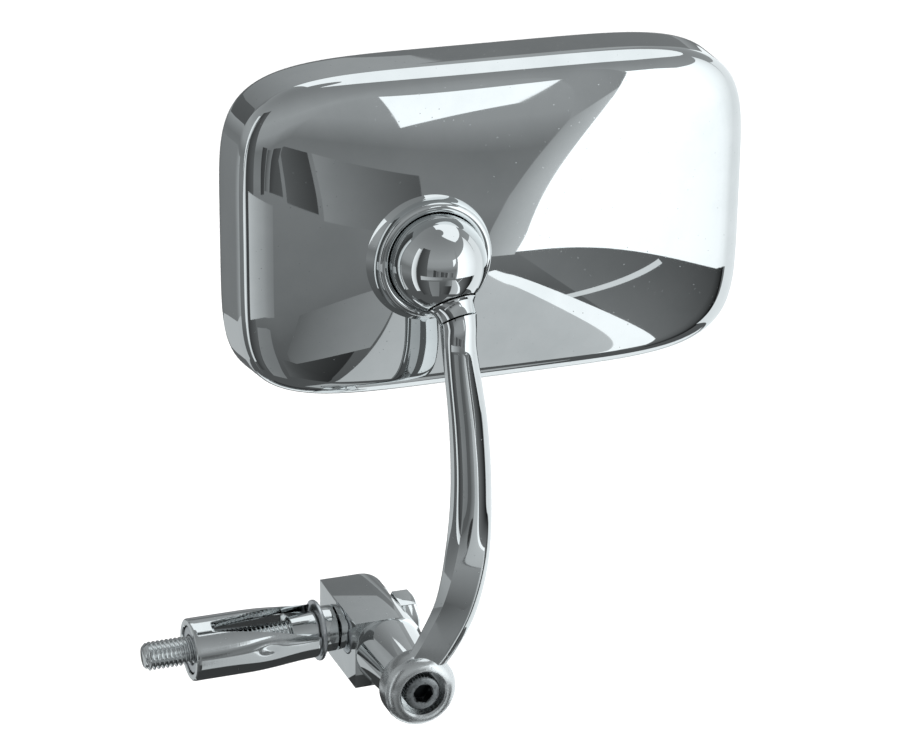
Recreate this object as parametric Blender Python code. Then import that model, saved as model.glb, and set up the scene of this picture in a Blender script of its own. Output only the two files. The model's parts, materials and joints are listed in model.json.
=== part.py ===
"""Chrome handlebar-end rearview mirror: pressed head, ball joint, cast arm, knuckle and bar-end expander.

Frame: the origin is where the clamp bolt's axis meets the knuckle's bar-side face. +X runs along the
bolt towards its hex head, +Y towards the reflecting side of the glass, and +Z is up.
"""
import math

import bmesh
import bpy
from mathutils import Vector

MM = 0.001
FIT_GAP = 0.3
ORIGIN = Vector((0, 0, 0))
X_AXIS = Vector((1, 0, 0))
Y_AXIS = Vector((0, 1, 0))

# Mirror head: a rounded oblong, its rim wall and the shallow dome behind it
HEAD_WIDTH = 143.5
HEAD_HEIGHT = 89.5
HEAD_CENTRE_X = 37.8
HEAD_CENTRE_Z = 123.4
CORNER_POWER = 5.2
CENTRE_POWER = 2.0
LIP_Y = -10.0
DOME_EDGE_Y = -26.0
DOME_RISE = 8.0
DOME_FLATNESS = 2.2
DOME_EDGE_POWER = 0.75
DOME_RING_SPACING = 0.7
RIM_TAPER = 0.8
SHEET = 1.0
DOME_RINGS = 7
OUTLINE_STEPS = 72

GASKET_WIDTH = 1.5
GASKET_LAP = 2.0
GASKET_SINK = 0.2
GASKET_TAIL = 0.3
GLASS_RECESS = 1.1
GLASS_THICKNESS = 2.5
BACKING_THICKNESS = 1.5
BACKING_INSET = 0.5

# Ball joint: ball centre, the direction in which the stud leaves the ball, and concentric radii
BALL_CENTRE = Vector((16.0, -38.0, 119.0))
STUD_DIRECTION = Vector((0.15, -0.55, -0.82)).normalized()
BALL_R = 8.7
SEAT_INNER_R = 8.9
SEAT_OUTER_R = 10.6
SOCKET_INNER_R = 10.9
SOCKET_OUTER_R = 12.8
SOCKET_MOUTH_R = 6.5
STUD_PATH = (2.0, 22.0)
FRONT_SEAT_EDGE = math.radians(97)
REAR_SEAT_EDGES = (math.radians(20), math.radians(80))
STEM_R = 4.0
STUD_COLLAR_R = 5.2
STUD_COLLAR_START = 13.3
STUD_COLLAR_LENGTH = 2.6
STUD_SHANK_R = 2.5
STUD_SHANK_LENGTH = 4.0
BOSS_R = 15.6
BOSS_BACK_Y = -31.9
BOSS_FRONT_Y = -37.2
BOSS_EDGE = 0.8
BOSS_SPREAD = 0.4
SOCKET_BORE_Y = (-42.0, -28.0)
FLANGE_R = 19.0
FLANGE_Y = -30.6
FLANGE_THICKNESS = 1.2
SOCKET_TUBE_END_Y = -26.8
CUP_BACK = 12.0
CUP_ANGLES = (16, 30, 45, 60, 74)
RETAINER_Y = -20.0
RETAINER_THICKNESS = 1.2
RETAINER_SCREW_CIRCLE_R = 16.0
RETAINER_SCREW_R = 1.45
RETAINER_SCREW_HOLE_R = 1.8
RETAINER_SCREW_HEAD_R = 2.7
RETAINER_SCREW_TOP_R = 1.9
RETAINER_SCREW_RIM = 1.2
RETAINER_SCREW_HEIGHT = 2.0
RETAINER_SCREW_REACH = 0.4
RETAINER_BORE_R = 3.0
RETAINER_HOLE_Y = (-22.0, -17.0)
FLANGE_HOLE_Y = (-34.0, -27.0)
SPRING_MEAN_R = 7.6
SPRING_WIRE_R = 0.7
SPRING_TURNS = 2.5
SPRING_STEPS_PER_TURN = 16
SPRING_CLOSED_END = 0.2

# Arm: its width at the ball stud, then centreline stations (x, y, z, width) down to the eye
ARM_TOP_WIDTH = 9.6
ARM_STATIONS = (
    (18.2, -48.7, 98.0, 9.2),
    (21.3, -47.5, 77.0, 10.4),
    (23.2, -45.3, 57.0, 11.2),
    (23.0, -43.8, 38.5, 11.6),
    (20.4, -43.1, 23.5, 11.2),
    (15.5, -42.7, 13.0, 10.6),
    (10.5, -42.6, 6.0, 9.0),
)
ARM_DEPTH_RATIO = 0.74
ARM_ROUND_RINGS = 5
ARM_RINGS_PER_STATION = 3
ARM_SECTION_POINTS = 16
EYE_AXIS_X = 9.8
EYE_FRONT_Y = -46.9
EYE_BACK_Y = -38.3
EYE_R = 10.2
EYE_ROUNDING = 3.4
EYE_BACK_EDGE = 1.2
EYE_BORE_R = 3.4
COUNTERBORE_R = 6.3
COUNTERBORE_DEPTH = 5.6

# Eye screw (M6 socket head) and serrated lock washer
SCREW_HEAD_R = 5.0
SCREW_HEAD_HEIGHT = 5.0
SCREW_R = 3.0
SCREW_TIP_Y = -22.0
SCREW_EDGE = 0.5
SCREW_POINT = 0.6
HEX_KEY_FLATS = 5.0
HEX_KEY_DEPTH = 3.0
WASHER_R = 7.6
WASHER_THICKNESS = 0.8

# Knuckle block: D section across the bolt, with a tapered boss for the arm
BLOCK_DEPTH = 19.6
BLOCK_R = 9.8
BLOCK_NOSE_R = 8.0
BLOCK_NEAR_Y = -19.2
BLOCK_FAR_Y = 11.3
BLOCK_LOW_CORNER_R = 10.0
SPOT_FACE_X = 16.7
SPOT_FACE_R = 8.6
BOLT_HOLE_R = 4.4
BOSS_ROOT_R = 9.6
BOSS_TIP_R = 8.0
BOSS_TIP_Y = -36.8
BOSS_TIP_EDGE = 0.6
BOSS_HOLE_R = 3.3
BOSS_HOLE_END_Y = -20.0

# Clamp bolt (M8 hex) and bar-end expander
BOLT_R = 4.0
BOLT_TIP_X = -55.0
BOLT_HEAD_X = 18.5
BOLT_HEAD_HEIGHT = 5.3
BOLT_HEAD_FLATS = 13.0
BOLT_HEAD_TURN = math.radians(9)
BOLT_POINT = 0.8
BOLT_CROWN_R = 6.2
BOLT_CROWN_DROP = 1.6
BOLT_CROWN_REACH_R = 9.0
SPRING_WASHER_OUTER_R = 6.4
SPRING_WASHER_X = (17.0, 18.2)
SPRING_WASHER_SPLIT = 0.8
SPACER_R = 6.5
SPACER_X = (-3.9, -0.3)
RING_R = 8.6
RING_X = (-5.4, -4.2)
RING_EDGE = 0.4
CONE_X = (-13.0, -5.7)
CONE_RADII = (4.9, 5.6)
BUSH_BORE_R = 4.3
SLEEVE_X = (-42.0, -5.7)
SLEEVE_R = 8.75
SLEEVE_EDGE = 0.7
SLEEVE_TAPER_X = (-22.0, -14.0)
SLEEVE_WAIST_R = 8.4
SLEEVE_END_R = 7.5
SLEEVE_BORE_R = 6.0
NUT_POCKET_R = 6.8
NUT_R = 6.4
NUT_X = (-41.6, -35.1)
SLOT_X = (-36.0, -4.0)
SLOT_HALF_WIDTHS = (1.8, 6.4)
SLOT_TILT = math.radians(25)

# Materials: base colour, metallic and roughness
CHROME = (0.80, 0.81, 0.82)
ZINC = (0.62, 0.64, 0.66)
MATERIALS = {
    "mirror_housing": (CHROME, 1.0, 0.06),
    "mirror_glass": ((0.86, 0.88, 0.88), 1.0, 0.02),
    "glass_gasket": ((0.02, 0.02, 0.02), 0.0, 0.6),
    "glass_backing": ((0.35, 0.30, 0.24), 0.0, 0.9),
    "ball_socket": (CHROME, 1.0, 0.07),
    "front_seat": ((0.75, 0.74, 0.68), 0.0, 0.45),
    "rear_seat": ((0.70, 0.70, 0.64), 0.0, 0.45),
    "spring_cup": (ZINC, 1.0, 0.35),
    "seat_spring": ((0.30, 0.31, 0.33), 1.0, 0.3),
    "spring_retainer": (ZINC, 1.0, 0.32),
    "retainer_screw": (ZINC, 1.0, 0.28),
    "ball_stud": (CHROME, 1.0, 0.08),
    "mirror_arm": (CHROME, 1.0, 0.06),
    "eye_screw": (ZINC, 1.0, 0.2),
    "lock_washer": (ZINC, 1.0, 0.3),
    "knuckle_block": (CHROME, 1.0, 0.07),
    "expander_bolt": (ZINC, 1.0, 0.22),
    "bolt_spring_washer": (ZINC, 1.0, 0.3),
    "spacer_bush": (CHROME, 1.0, 0.1),
    "flange_ring": (ZINC, 1.0, 0.2),
    "spreader_cone": (ZINC, 1.0, 0.25),
    "expander_nut": (ZINC, 1.0, 0.28),
    "expander_sleeve": (CHROME, 1.0, 0.14),
}


def clear_scene():
    for obj in list(bpy.data.objects):
        bpy.data.objects.remove(obj, do_unlink=True)


def new_collection(name):
    collection = bpy.data.collections.new(name)
    bpy.context.scene.collection.children.link(collection)
    return collection


def make_material(name, colour, metallic, roughness):
    material = bpy.data.materials.new(name)
    material.use_nodes = True
    shader = material.node_tree.nodes["Principled BSDF"]
    shader.inputs["Base Color"].default_value = (*colour, 1.0)
    shader.inputs["Metallic"].default_value = metallic
    shader.inputs["Roughness"].default_value = roughness
    return material


def object_from(bm, name, collection, material=None):
    """Turns the bmesh, built in millimetres, into an object in metres."""
    bmesh.ops.remove_doubles(bm, verts=bm.verts, dist=1e-4)
    bmesh.ops.recalc_face_normals(bm, faces=bm.faces)
    bmesh.ops.scale(bm, vec=(MM, MM, MM), verts=bm.verts)
    mesh = bpy.data.meshes.new(name)
    bm.to_mesh(mesh)
    bm.free()
    obj = bpy.data.objects.new(name, mesh)
    collection.objects.link(obj)
    if material:
        mesh.materials.append(material)
    else:
        obj.hide_render = True
        obj.display_type = "WIRE"
    return obj


def loft(loops, wrap=False):
    """Skins a list of equal-length point loops. A one-point loop at an end closes it with a fan."""
    bm = bmesh.new()
    rings = [[bm.verts.new(point) for point in loop] for loop in loops]
    pairs = list(zip(rings, rings[1:]))
    if wrap:
        pairs.append((rings[-1], rings[0]))
    for lower, upper in pairs:
        count = max(len(lower), len(upper))
        for i in range(count):
            j = (i + 1) % count
            corners = [lower[i % len(lower)], lower[j % len(lower)],
                       upper[j % len(upper)], upper[i % len(upper)]]
            bm.faces.new(list(dict.fromkeys(corners)))
    if not wrap:
        for end in (rings[0], rings[-1]):
            if len(end) > 1:
                bm.faces.new(end)
    return bm


def axis_frame(axis):
    """Two unit vectors across the axis."""
    axis = Vector(axis).normalized()
    helper = Vector((0, 0, 1)) if abs(axis.z) < 0.9 else Vector((1, 0, 0))
    across = axis.cross(helper).normalized()
    return axis, across, axis.cross(across)


def turned(profile, origin, axis, steps=32, ring=False):
    """Revolves (radius, distance along the axis) points. A ring profile closes on itself."""
    axis, across, third = axis_frame(axis)
    origin = Vector(origin)
    loops = []
    for radius, along in profile:
        centre = origin + axis * along
        if radius == 0:
            loops.append([centre])
            continue
        angles = [2 * math.pi * i / steps for i in range(steps)]
        loops.append([centre + (across * math.cos(a) + third * math.sin(a)) * radius for a in angles])
    return loft(loops, wrap=ring)


def tube_profile(inner, outer, start, end):
    return ((inner, start), (outer, start), (outer, end), (inner, end))


def rod_profile(radius, start, end):
    return ((0, start), (radius, start), (radius, end), (0, end))


def prism(points, start, end):
    """Skins a flat outline between two offsets: each point is a Vector, start and end are Vectors."""
    return loft([[p + start for p in points], [p + end for p in points]])


def regular_polygon(sides, flats, origin, axis, turn=0.0):
    axis, across, third = axis_frame(axis)
    radius = flats / 2 / math.cos(math.pi / sides)
    angles = [turn + 2 * math.pi * i / sides for i in range(sides)]
    return [Vector(origin) + (across * math.cos(a) + third * math.sin(a)) * radius for a in angles]


def combine(obj, other, operation):
    modifier = obj.modifiers.new(f"{operation.lower()} {other.name}", "BOOLEAN")
    modifier.operation = operation
    modifier.object = other
    modifier.solver = "EXACT"


def head_outline(inset, y, scale=1.0):
    """The head's rounded-oblong outline, drawn in by inset. Scaled down, it turns into an ellipse."""
    power = CENTRE_POWER + (CORNER_POWER - CENTRE_POWER) * scale ** 2
    half_width = (HEAD_WIDTH / 2 - inset) * scale
    half_height = (HEAD_HEIGHT / 2 - inset) * scale
    loop = []
    for i in range(OUTLINE_STEPS):
        angle = 2 * math.pi * i / OUTLINE_STEPS
        c = math.cos(angle)
        s = math.sin(angle)
        x = half_width * math.copysign(abs(c) ** (2 / power), c)
        z = half_height * math.copysign(abs(s) ** (2 / power), s)
        loop.append(Vector((HEAD_CENTRE_X + x, y, HEAD_CENTRE_Z + z)))
    return loop


def dome_y(scale, edge_y):
    return edge_y - DOME_RISE * (1 - scale ** DOME_FLATNESS) ** DOME_EDGE_POWER


def dome_loops(inset, edge_y):
    """Loops of the domed back from its centre point out to its edge."""
    loops = [[Vector((HEAD_CENTRE_X, dome_y(0, edge_y), HEAD_CENTRE_Z))]]
    for i in range(1, DOME_RINGS + 1):
        scale = (i / DOME_RINGS) ** DOME_RING_SPACING
        loops.append(head_outline(inset, dome_y(scale, edge_y), scale))
    return loops


def build_housing(parts, cutters, material):
    inner = dome_loops(RIM_TAPER + SHEET, DOME_EDGE_Y + SHEET)
    inner.append(head_outline(SHEET, LIP_Y))
    outer = [head_outline(0.0, LIP_Y)]
    outer += reversed(dome_loops(RIM_TAPER, DOME_EDGE_Y))
    housing = object_from(loft(inner + outer), "mirror_housing", parts, material)
    ball_xz = (BALL_CENTRE.x, 0, BALL_CENTRE.z)
    boss_profile = ((0, BOSS_FRONT_Y), (BOSS_R - BOSS_EDGE, BOSS_FRONT_Y),
                    (BOSS_R, BOSS_FRONT_Y + BOSS_EDGE), (BOSS_R + BOSS_SPREAD, BOSS_BACK_Y),
                    (0, BOSS_BACK_Y))
    boss = object_from(turned(boss_profile, ball_xz, Y_AXIS), "housing_boss_add", cutters)
    bore_profile = rod_profile(SOCKET_OUTER_R + FIT_GAP, *SOCKET_BORE_Y)
    bore = object_from(turned(bore_profile, ball_xz, Y_AXIS), "housing_bore_cut", cutters)
    combine(housing, boss, "UNION")
    combine(housing, bore, "DIFFERENCE")


def plate_loops(inset, front_y, back_y):
    return [head_outline(inset, front_y), head_outline(inset, back_y)]


def build_glass_stack(parts, materials):
    """Gasket, glass and backing card, laid in the open side of the head."""
    outer = SHEET + RIM_TAPER / 2 + FIT_GAP
    inner = outer + GASKET_WIDTH
    front_y = LIP_Y - GASKET_SINK
    glass_front_y = LIP_Y - GLASS_RECESS
    lap_y = glass_front_y + FIT_GAP
    glass_back_y = glass_front_y - GLASS_THICKNESS
    card_front_y = glass_back_y - FIT_GAP
    card_back_y = card_front_y - BACKING_THICKNESS
    gasket_end_y = card_back_y - GASKET_TAIL
    gasket = [
        head_outline(outer, gasket_end_y),
        head_outline(outer, front_y),
        head_outline(inner + GASKET_LAP, front_y),
        head_outline(inner + GASKET_LAP, lap_y),
        head_outline(inner, lap_y),
        head_outline(inner, gasket_end_y),
    ]
    object_from(loft(gasket, wrap=True), "glass_gasket", parts, materials["glass_gasket"])
    glass = plate_loops(inner + FIT_GAP, glass_front_y, glass_back_y)
    object_from(loft(glass), "mirror_glass", parts, materials["mirror_glass"])
    card = plate_loops(inner + FIT_GAP + BACKING_INSET, card_front_y, card_back_y)
    object_from(loft(card), "glass_backing", parts, materials["glass_backing"])


def arc_profile(radius, start, end, steps):
    """(radius, along) points on a sphere, between two angles from the axis."""
    angles = [start + (end - start) * i / steps for i in range(steps + 1)]
    return [(max(radius * math.sin(a), 0.0), radius * math.cos(a)) for a in angles]


def stud_path_cutter(name, cutters, radius):
    """A rod along the stud, wide enough for its tilt."""
    profile = rod_profile(radius, *STUD_PATH)
    return object_from(turned(profile, BALL_CENTRE, STUD_DIRECTION, 32), name, cutters)


def retainer_screw_points():
    points = []
    for i in range(3):
        angle = math.radians(90 + 120 * i)
        x = BALL_CENTRE.x + RETAINER_SCREW_CIRCLE_R * math.cos(angle)
        z = BALL_CENTRE.z + RETAINER_SCREW_CIRCLE_R * math.sin(angle)
        points.append(Vector((x, 0, z)))
    return points


def build_socket(parts, cutters, material):
    """Ball socket: a domed cap that leans out of the head's boss, with a flange inside the head."""
    flange = FLANGE_Y - BALL_CENTRE.y
    tube_end = SOCKET_TUBE_END_Y - BALL_CENTRE.y
    outer = arc_profile(SOCKET_OUTER_R, math.pi, math.pi / 2, 7)
    inner = arc_profile(SOCKET_INNER_R, math.pi / 2, math.pi, 7)
    outer[0] = (0, -SOCKET_OUTER_R)
    inner[-1] = (0, -SOCKET_INNER_R)
    rim = [(SOCKET_OUTER_R, flange), (FLANGE_R, flange), (FLANGE_R, flange + FLANGE_THICKNESS),
           (SOCKET_OUTER_R, flange + FLANGE_THICKNESS), (SOCKET_OUTER_R, tube_end),
           (SOCKET_INNER_R, tube_end)]
    shape = turned(outer + rim + inner, BALL_CENTRE, Y_AXIS)
    socket = object_from(shape, "ball_socket", parts, material)
    combine(socket, stud_path_cutter("socket_mouth_cut", cutters, SOCKET_MOUTH_R), "DIFFERENCE")
    for i, point in enumerate(retainer_screw_points(), 1):
        profile = rod_profile(RETAINER_SCREW_HOLE_R, *FLANGE_HOLE_Y)
        hole = object_from(turned(profile, point, Y_AXIS, 16), f"flange_hole_cut_{i}", cutters)
        combine(socket, hole, "DIFFERENCE")


def build_seats(parts, cutters, materials):
    """Friction seats: two spherical shells that hold the ball between them."""
    front = (arc_profile(SEAT_OUTER_R, math.pi, FRONT_SEAT_EDGE, 6)
             + arc_profile(SEAT_INNER_R, FRONT_SEAT_EDGE, math.pi, 6))
    front[0] = (0, -SEAT_OUTER_R)
    front[-1] = (0, -SEAT_INNER_R)
    shape = turned(front, BALL_CENTRE, Y_AXIS)
    seat = object_from(shape, "front_seat", parts, materials["front_seat"])
    combine(seat, stud_path_cutter("front_seat_cut", cutters, SOCKET_MOUTH_R), "DIFFERENCE")
    low, high = REAR_SEAT_EDGES
    rear = arc_profile(SEAT_INNER_R, low, high, 5) + arc_profile(SEAT_OUTER_R, high, low, 5)
    shape = turned(rear, BALL_CENTRE, Y_AXIS, ring=True)
    object_from(shape, "rear_seat", parts, materials["rear_seat"])


def build_spring_stack(parts, cutters, materials):
    """Spring cup, spring, retainer plate and its three screws, behind the rear seat."""
    cup_face = [(math.sin(a) * SOCKET_INNER_R, math.cos(a) * SOCKET_INNER_R)
                for a in map(math.radians, CUP_ANGLES)]
    cup = cup_face + [(SEAT_OUTER_R, cup_face[-1][1]), (SEAT_OUTER_R, CUP_BACK),
                      (cup_face[0][0], CUP_BACK)]
    shape = turned(cup, BALL_CENTRE, Y_AXIS, ring=True)
    object_from(shape, "spring_cup", parts, materials["spring_cup"])
    disc = tube_profile(RETAINER_BORE_R, FLANGE_R, RETAINER_Y, RETAINER_Y + RETAINER_THICKNESS)
    plate = turned(disc, (BALL_CENTRE.x, 0, BALL_CENTRE.z), Y_AXIS, ring=True)
    retainer = object_from(plate, "spring_retainer", parts, materials["spring_retainer"])
    for i, point in enumerate(retainer_screw_points(), 1):
        profile = rod_profile(RETAINER_SCREW_HOLE_R, *RETAINER_HOLE_Y)
        hole = object_from(turned(profile, point, Y_AXIS, 16), f"retainer_hole_cut_{i}", cutters)
        combine(retainer, hole, "DIFFERENCE")
        tip_y = FLANGE_Y - RETAINER_SCREW_REACH
        head_y = RETAINER_Y + RETAINER_THICKNESS + FIT_GAP
        top_y = head_y + RETAINER_SCREW_HEIGHT
        screw = ((0, tip_y), (RETAINER_SCREW_R, tip_y), (RETAINER_SCREW_R, head_y),
                 (RETAINER_SCREW_HEAD_R, head_y), (RETAINER_SCREW_HEAD_R, head_y + RETAINER_SCREW_RIM),
                 (RETAINER_SCREW_TOP_R, top_y), (0, top_y))
        name = f"retainer_screw_{i}"
        object_from(turned(screw, point, Y_AXIS, 20), name, parts, materials["retainer_screw"])


def build_spring(parts, material):
    start_y = BALL_CENTRE.y + CUP_BACK + FIT_GAP + SPRING_WIRE_R
    end_y = RETAINER_Y - FIT_GAP - SPRING_WIRE_R
    steps = int(SPRING_TURNS * SPRING_STEPS_PER_TURN)
    loops = []
    for i in range(steps + 1):
        t = i / steps
        angle = 2 * math.pi * SPRING_TURNS * t
        rise = min(max((t - SPRING_CLOSED_END) / (1 - 2 * SPRING_CLOSED_END), 0.0), 1.0)
        outward = Vector((math.cos(angle), 0, math.sin(angle)))
        centre = Vector((BALL_CENTRE.x, start_y + (end_y - start_y) * rise, BALL_CENTRE.z))
        centre += outward * SPRING_MEAN_R
        loops.append([centre + (outward * math.cos(a) + Y_AXIS * math.sin(a)) * SPRING_WIRE_R
                      for a in (2 * math.pi * k / 6 for k in range(6))])
    object_from(loft(loops), "seat_spring", parts, material)


def build_ball_stud(parts, material):
    """Ball, stem, collar and the shank that fits the arm's end."""
    neck_angle = math.asin(STEM_R / BALL_R)
    profile = arc_profile(BALL_R, math.pi, neck_angle, 10)
    profile[0] = (0, -BALL_R)
    collar_end = STUD_COLLAR_START + STUD_COLLAR_LENGTH
    profile += [(STEM_R, STUD_COLLAR_START - 0.8), (STUD_COLLAR_R - 0.5, STUD_COLLAR_START),
                (STUD_COLLAR_R, STUD_COLLAR_START + 0.5), (STUD_COLLAR_R, collar_end - 0.5),
                (STUD_COLLAR_R - 0.5, collar_end), (STUD_SHANK_R, collar_end),
                (STUD_SHANK_R, collar_end + STUD_SHANK_LENGTH), (0, collar_end + STUD_SHANK_LENGTH)]
    object_from(turned(profile, BALL_CENTRE, STUD_DIRECTION, 28), "ball_stud", parts, material)


def smooth_stations():
    """Catmull-Rom points through the arm's stations, each as (centre, width)."""
    top = BALL_CENTRE + STUD_DIRECTION * (STUD_COLLAR_START + STUD_COLLAR_LENGTH + FIT_GAP)
    rows = [Vector((*top, ARM_TOP_WIDTH))] + [Vector(row) for row in ARM_STATIONS]
    rows = [rows[0] * 2 - rows[1]] + rows + [rows[-1] * 2 - rows[-2]]
    smooth = []
    for a, b, c, d in zip(rows, rows[1:], rows[2:], rows[3:]):
        for i in range(ARM_RINGS_PER_STATION):
            t = i / ARM_RINGS_PER_STATION
            row = (b * 2 + (c - a) * t + (a * 2 - b * 5 + c * 4 - d) * t ** 2
                   + (b * 3 - a - c * 3 + d) * t ** 3) / 2
            smooth.append((row.to_3d(), row[3]))
    smooth.append((rows[-2].to_3d(), rows[-2][3]))
    return smooth


def arm_loops():
    stations = smooth_stations()
    loops = []
    for i, (centre, width) in enumerate(stations):
        before = stations[max(i - 1, 0)][0]
        after = stations[min(i + 1, len(stations) - 1)][0]
        along = (after - before).normalized() if i else STUD_DIRECTION
        across = along.cross(Y_AXIS).normalized()
        depth = across.cross(along)
        flatness = min(i / ARM_ROUND_RINGS, 1.0)
        depth_ratio = 1 + (ARM_DEPTH_RATIO - 1) * flatness
        loop = []
        for k in range(ARM_SECTION_POINTS):
            angle = 2 * math.pi * k / ARM_SECTION_POINTS
            loop.append(centre + across * math.cos(angle) * width / 2
                        + depth * math.sin(angle) * width / 2 * depth_ratio)
        loops.append(loop)
    return loops


def build_arm(parts, cutters, material):
    """Curved cast arm: swept body, eye for the pivot screw and a blind hole for the ball stud."""
    arm = object_from(loft(arm_loops()), "mirror_arm", parts, material)
    eye_axis = (EYE_AXIS_X, 0, 0)
    r = EYE_ROUNDING
    angles = [math.radians(15 * k) for k in range(7)]
    corner = [(EYE_R - r + r * math.sin(a), r * math.cos(a)) for a in angles]
    eye = [(0, EYE_FRONT_Y)]
    eye += [(radius, EYE_FRONT_Y + r - drop) for radius, drop in corner]
    eye += [(EYE_R, EYE_BACK_Y - EYE_BACK_EDGE), (EYE_R - EYE_BACK_EDGE, EYE_BACK_Y), (0, EYE_BACK_Y)]
    eye_solid = object_from(turned(eye, eye_axis, Y_AXIS, 48), "arm_eye_add", cutters)
    seat_y = EYE_FRONT_Y + COUNTERBORE_DEPTH
    bore = [(0, EYE_FRONT_Y - 2), (COUNTERBORE_R, EYE_FRONT_Y - 2), (COUNTERBORE_R, seat_y),
            (EYE_BORE_R, seat_y), (EYE_BORE_R, EYE_BACK_Y + 4), (0, EYE_BACK_Y + 4)]
    bore_cut = object_from(turned(bore, eye_axis, Y_AXIS, 36), "arm_bore_cut", cutters)
    start = STUD_COLLAR_START - 2
    end = STUD_COLLAR_START + STUD_COLLAR_LENGTH + STUD_SHANK_LENGTH + 0.5
    stud_hole = rod_profile(STUD_SHANK_R + FIT_GAP, start, end)
    shape = turned(stud_hole, BALL_CENTRE, STUD_DIRECTION, 24)
    stud_cut = object_from(shape, "arm_stud_hole_cut", cutters)
    combine(arm, stud_cut, "DIFFERENCE")
    combine(arm, eye_solid, "UNION")
    combine(arm, bore_cut, "DIFFERENCE")


def build_eye_screw(parts, cutters, materials):
    """Socket-head screw in the eye's counterbore, and the lock washer between eye and knuckle."""
    seat_y = EYE_FRONT_Y + COUNTERBORE_DEPTH - FIT_GAP
    head_y = seat_y - SCREW_HEAD_HEIGHT
    profile = [(0, head_y), (SCREW_HEAD_R - SCREW_EDGE, head_y), (SCREW_HEAD_R, head_y + SCREW_EDGE),
               (SCREW_HEAD_R, seat_y), (SCREW_R, seat_y), (SCREW_R, SCREW_TIP_Y - SCREW_POINT),
               (SCREW_R - SCREW_POINT, SCREW_TIP_Y), (0, SCREW_TIP_Y)]
    axis_point = Vector((EYE_AXIS_X, 0, 0))
    shape = turned(profile, axis_point, Y_AXIS, 36)
    screw = object_from(shape, "eye_screw", parts, materials["eye_screw"])
    hexagon = regular_polygon(6, HEX_KEY_FLATS, axis_point, Y_AXIS)
    start = Vector((0, head_y - 1, 0))
    end = Vector((0, head_y + HEX_KEY_DEPTH, 0))
    socket = object_from(prism(hexagon, start, end), "eye_screw_hex_cut", cutters)
    combine(screw, socket, "DIFFERENCE")
    washer_y = (EYE_BACK_Y + BOSS_TIP_Y) / 2
    half = WASHER_THICKNESS / 2
    washer = tube_profile(EYE_BORE_R, WASHER_R, washer_y - half, washer_y + half)
    shape = turned(washer, axis_point, Y_AXIS, 36, ring=True)
    object_from(shape, "lock_washer", parts, materials["lock_washer"])


def block_section():
    """D section in the XZ plane: a flat bar-side face and a rounded nose."""
    points = [Vector((0, 0, -BLOCK_R))]
    rise = BLOCK_R - BLOCK_NOSE_R
    for i in range(24):
        side = -1 if i < 12 else 1
        angle = -math.pi / 2 + math.pi / 2 * (i % 12) / 11 + (0 if i < 12 else math.pi / 2)
        x = BLOCK_DEPTH - BLOCK_NOSE_R + BLOCK_NOSE_R * math.cos(angle)
        points.append(Vector((x, 0, side * rise + BLOCK_NOSE_R * math.sin(angle))))
    points.append(Vector((0, 0, BLOCK_R)))
    return points


def block_side():
    """Side outline in the YZ plane, with the large round at its low far corner."""
    r = BLOCK_LOW_CORNER_R
    low_z = -BLOCK_R - 0.2
    points = [Vector((0, BLOCK_NEAR_Y, BLOCK_R + 1)), Vector((0, BLOCK_NEAR_Y, low_z))]
    for i in range(9):
        angle = -math.pi / 2 + math.pi / 2 * i / 8
        y = BLOCK_FAR_Y - r + r * math.cos(angle)
        points.append(Vector((0, y, low_z + r + r * math.sin(angle))))
    points.append(Vector((0, BLOCK_FAR_Y, BLOCK_R + 1)))
    return points


def build_knuckle(parts, cutters, material):
    """D-section block with its tapered boss, drilled for the clamp bolt and the eye screw."""
    near = Vector((0, BLOCK_NEAR_Y, 0))
    far = Vector((0, BLOCK_FAR_Y + 1, 0))
    block = object_from(prism(block_section(), near, far), "knuckle_block", parts, material)
    keep = prism(block_side(), X_AXIS * -5, X_AXIS * 30)
    side = object_from(keep, "block_side_keep", cutters)
    combine(block, side, "INTERSECT")
    boss = ((0, BOSS_TIP_Y), (BOSS_TIP_R - BOSS_TIP_EDGE, BOSS_TIP_Y),
            (BOSS_TIP_R, BOSS_TIP_Y + BOSS_TIP_EDGE), (BOSS_ROOT_R, BLOCK_NEAR_Y),
            (BOSS_ROOT_R, BLOCK_NEAR_Y + 4), (0, BLOCK_NEAR_Y + 4))
    boss_solid = object_from(turned(boss, X_AXIS * EYE_AXIS_X, Y_AXIS, 48), "block_boss_add", cutters)
    combine(block, boss_solid, "UNION")
    cuts = {
        "block_bolt_hole_cut": (rod_profile(BOLT_HOLE_R, -3, 25), ORIGIN, X_AXIS),
        "block_spot_face_cut": (rod_profile(SPOT_FACE_R, SPOT_FACE_X, 25), ORIGIN, X_AXIS),
        "block_screw_hole_cut": (rod_profile(BOSS_HOLE_R, BOSS_TIP_Y - 2, BOSS_HOLE_END_Y),
                                 X_AXIS * EYE_AXIS_X, Y_AXIS),
    }
    for name, (profile, origin, axis) in cuts.items():
        combine(block, object_from(turned(profile, origin, axis, 36), name, cutters), "DIFFERENCE")


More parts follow.
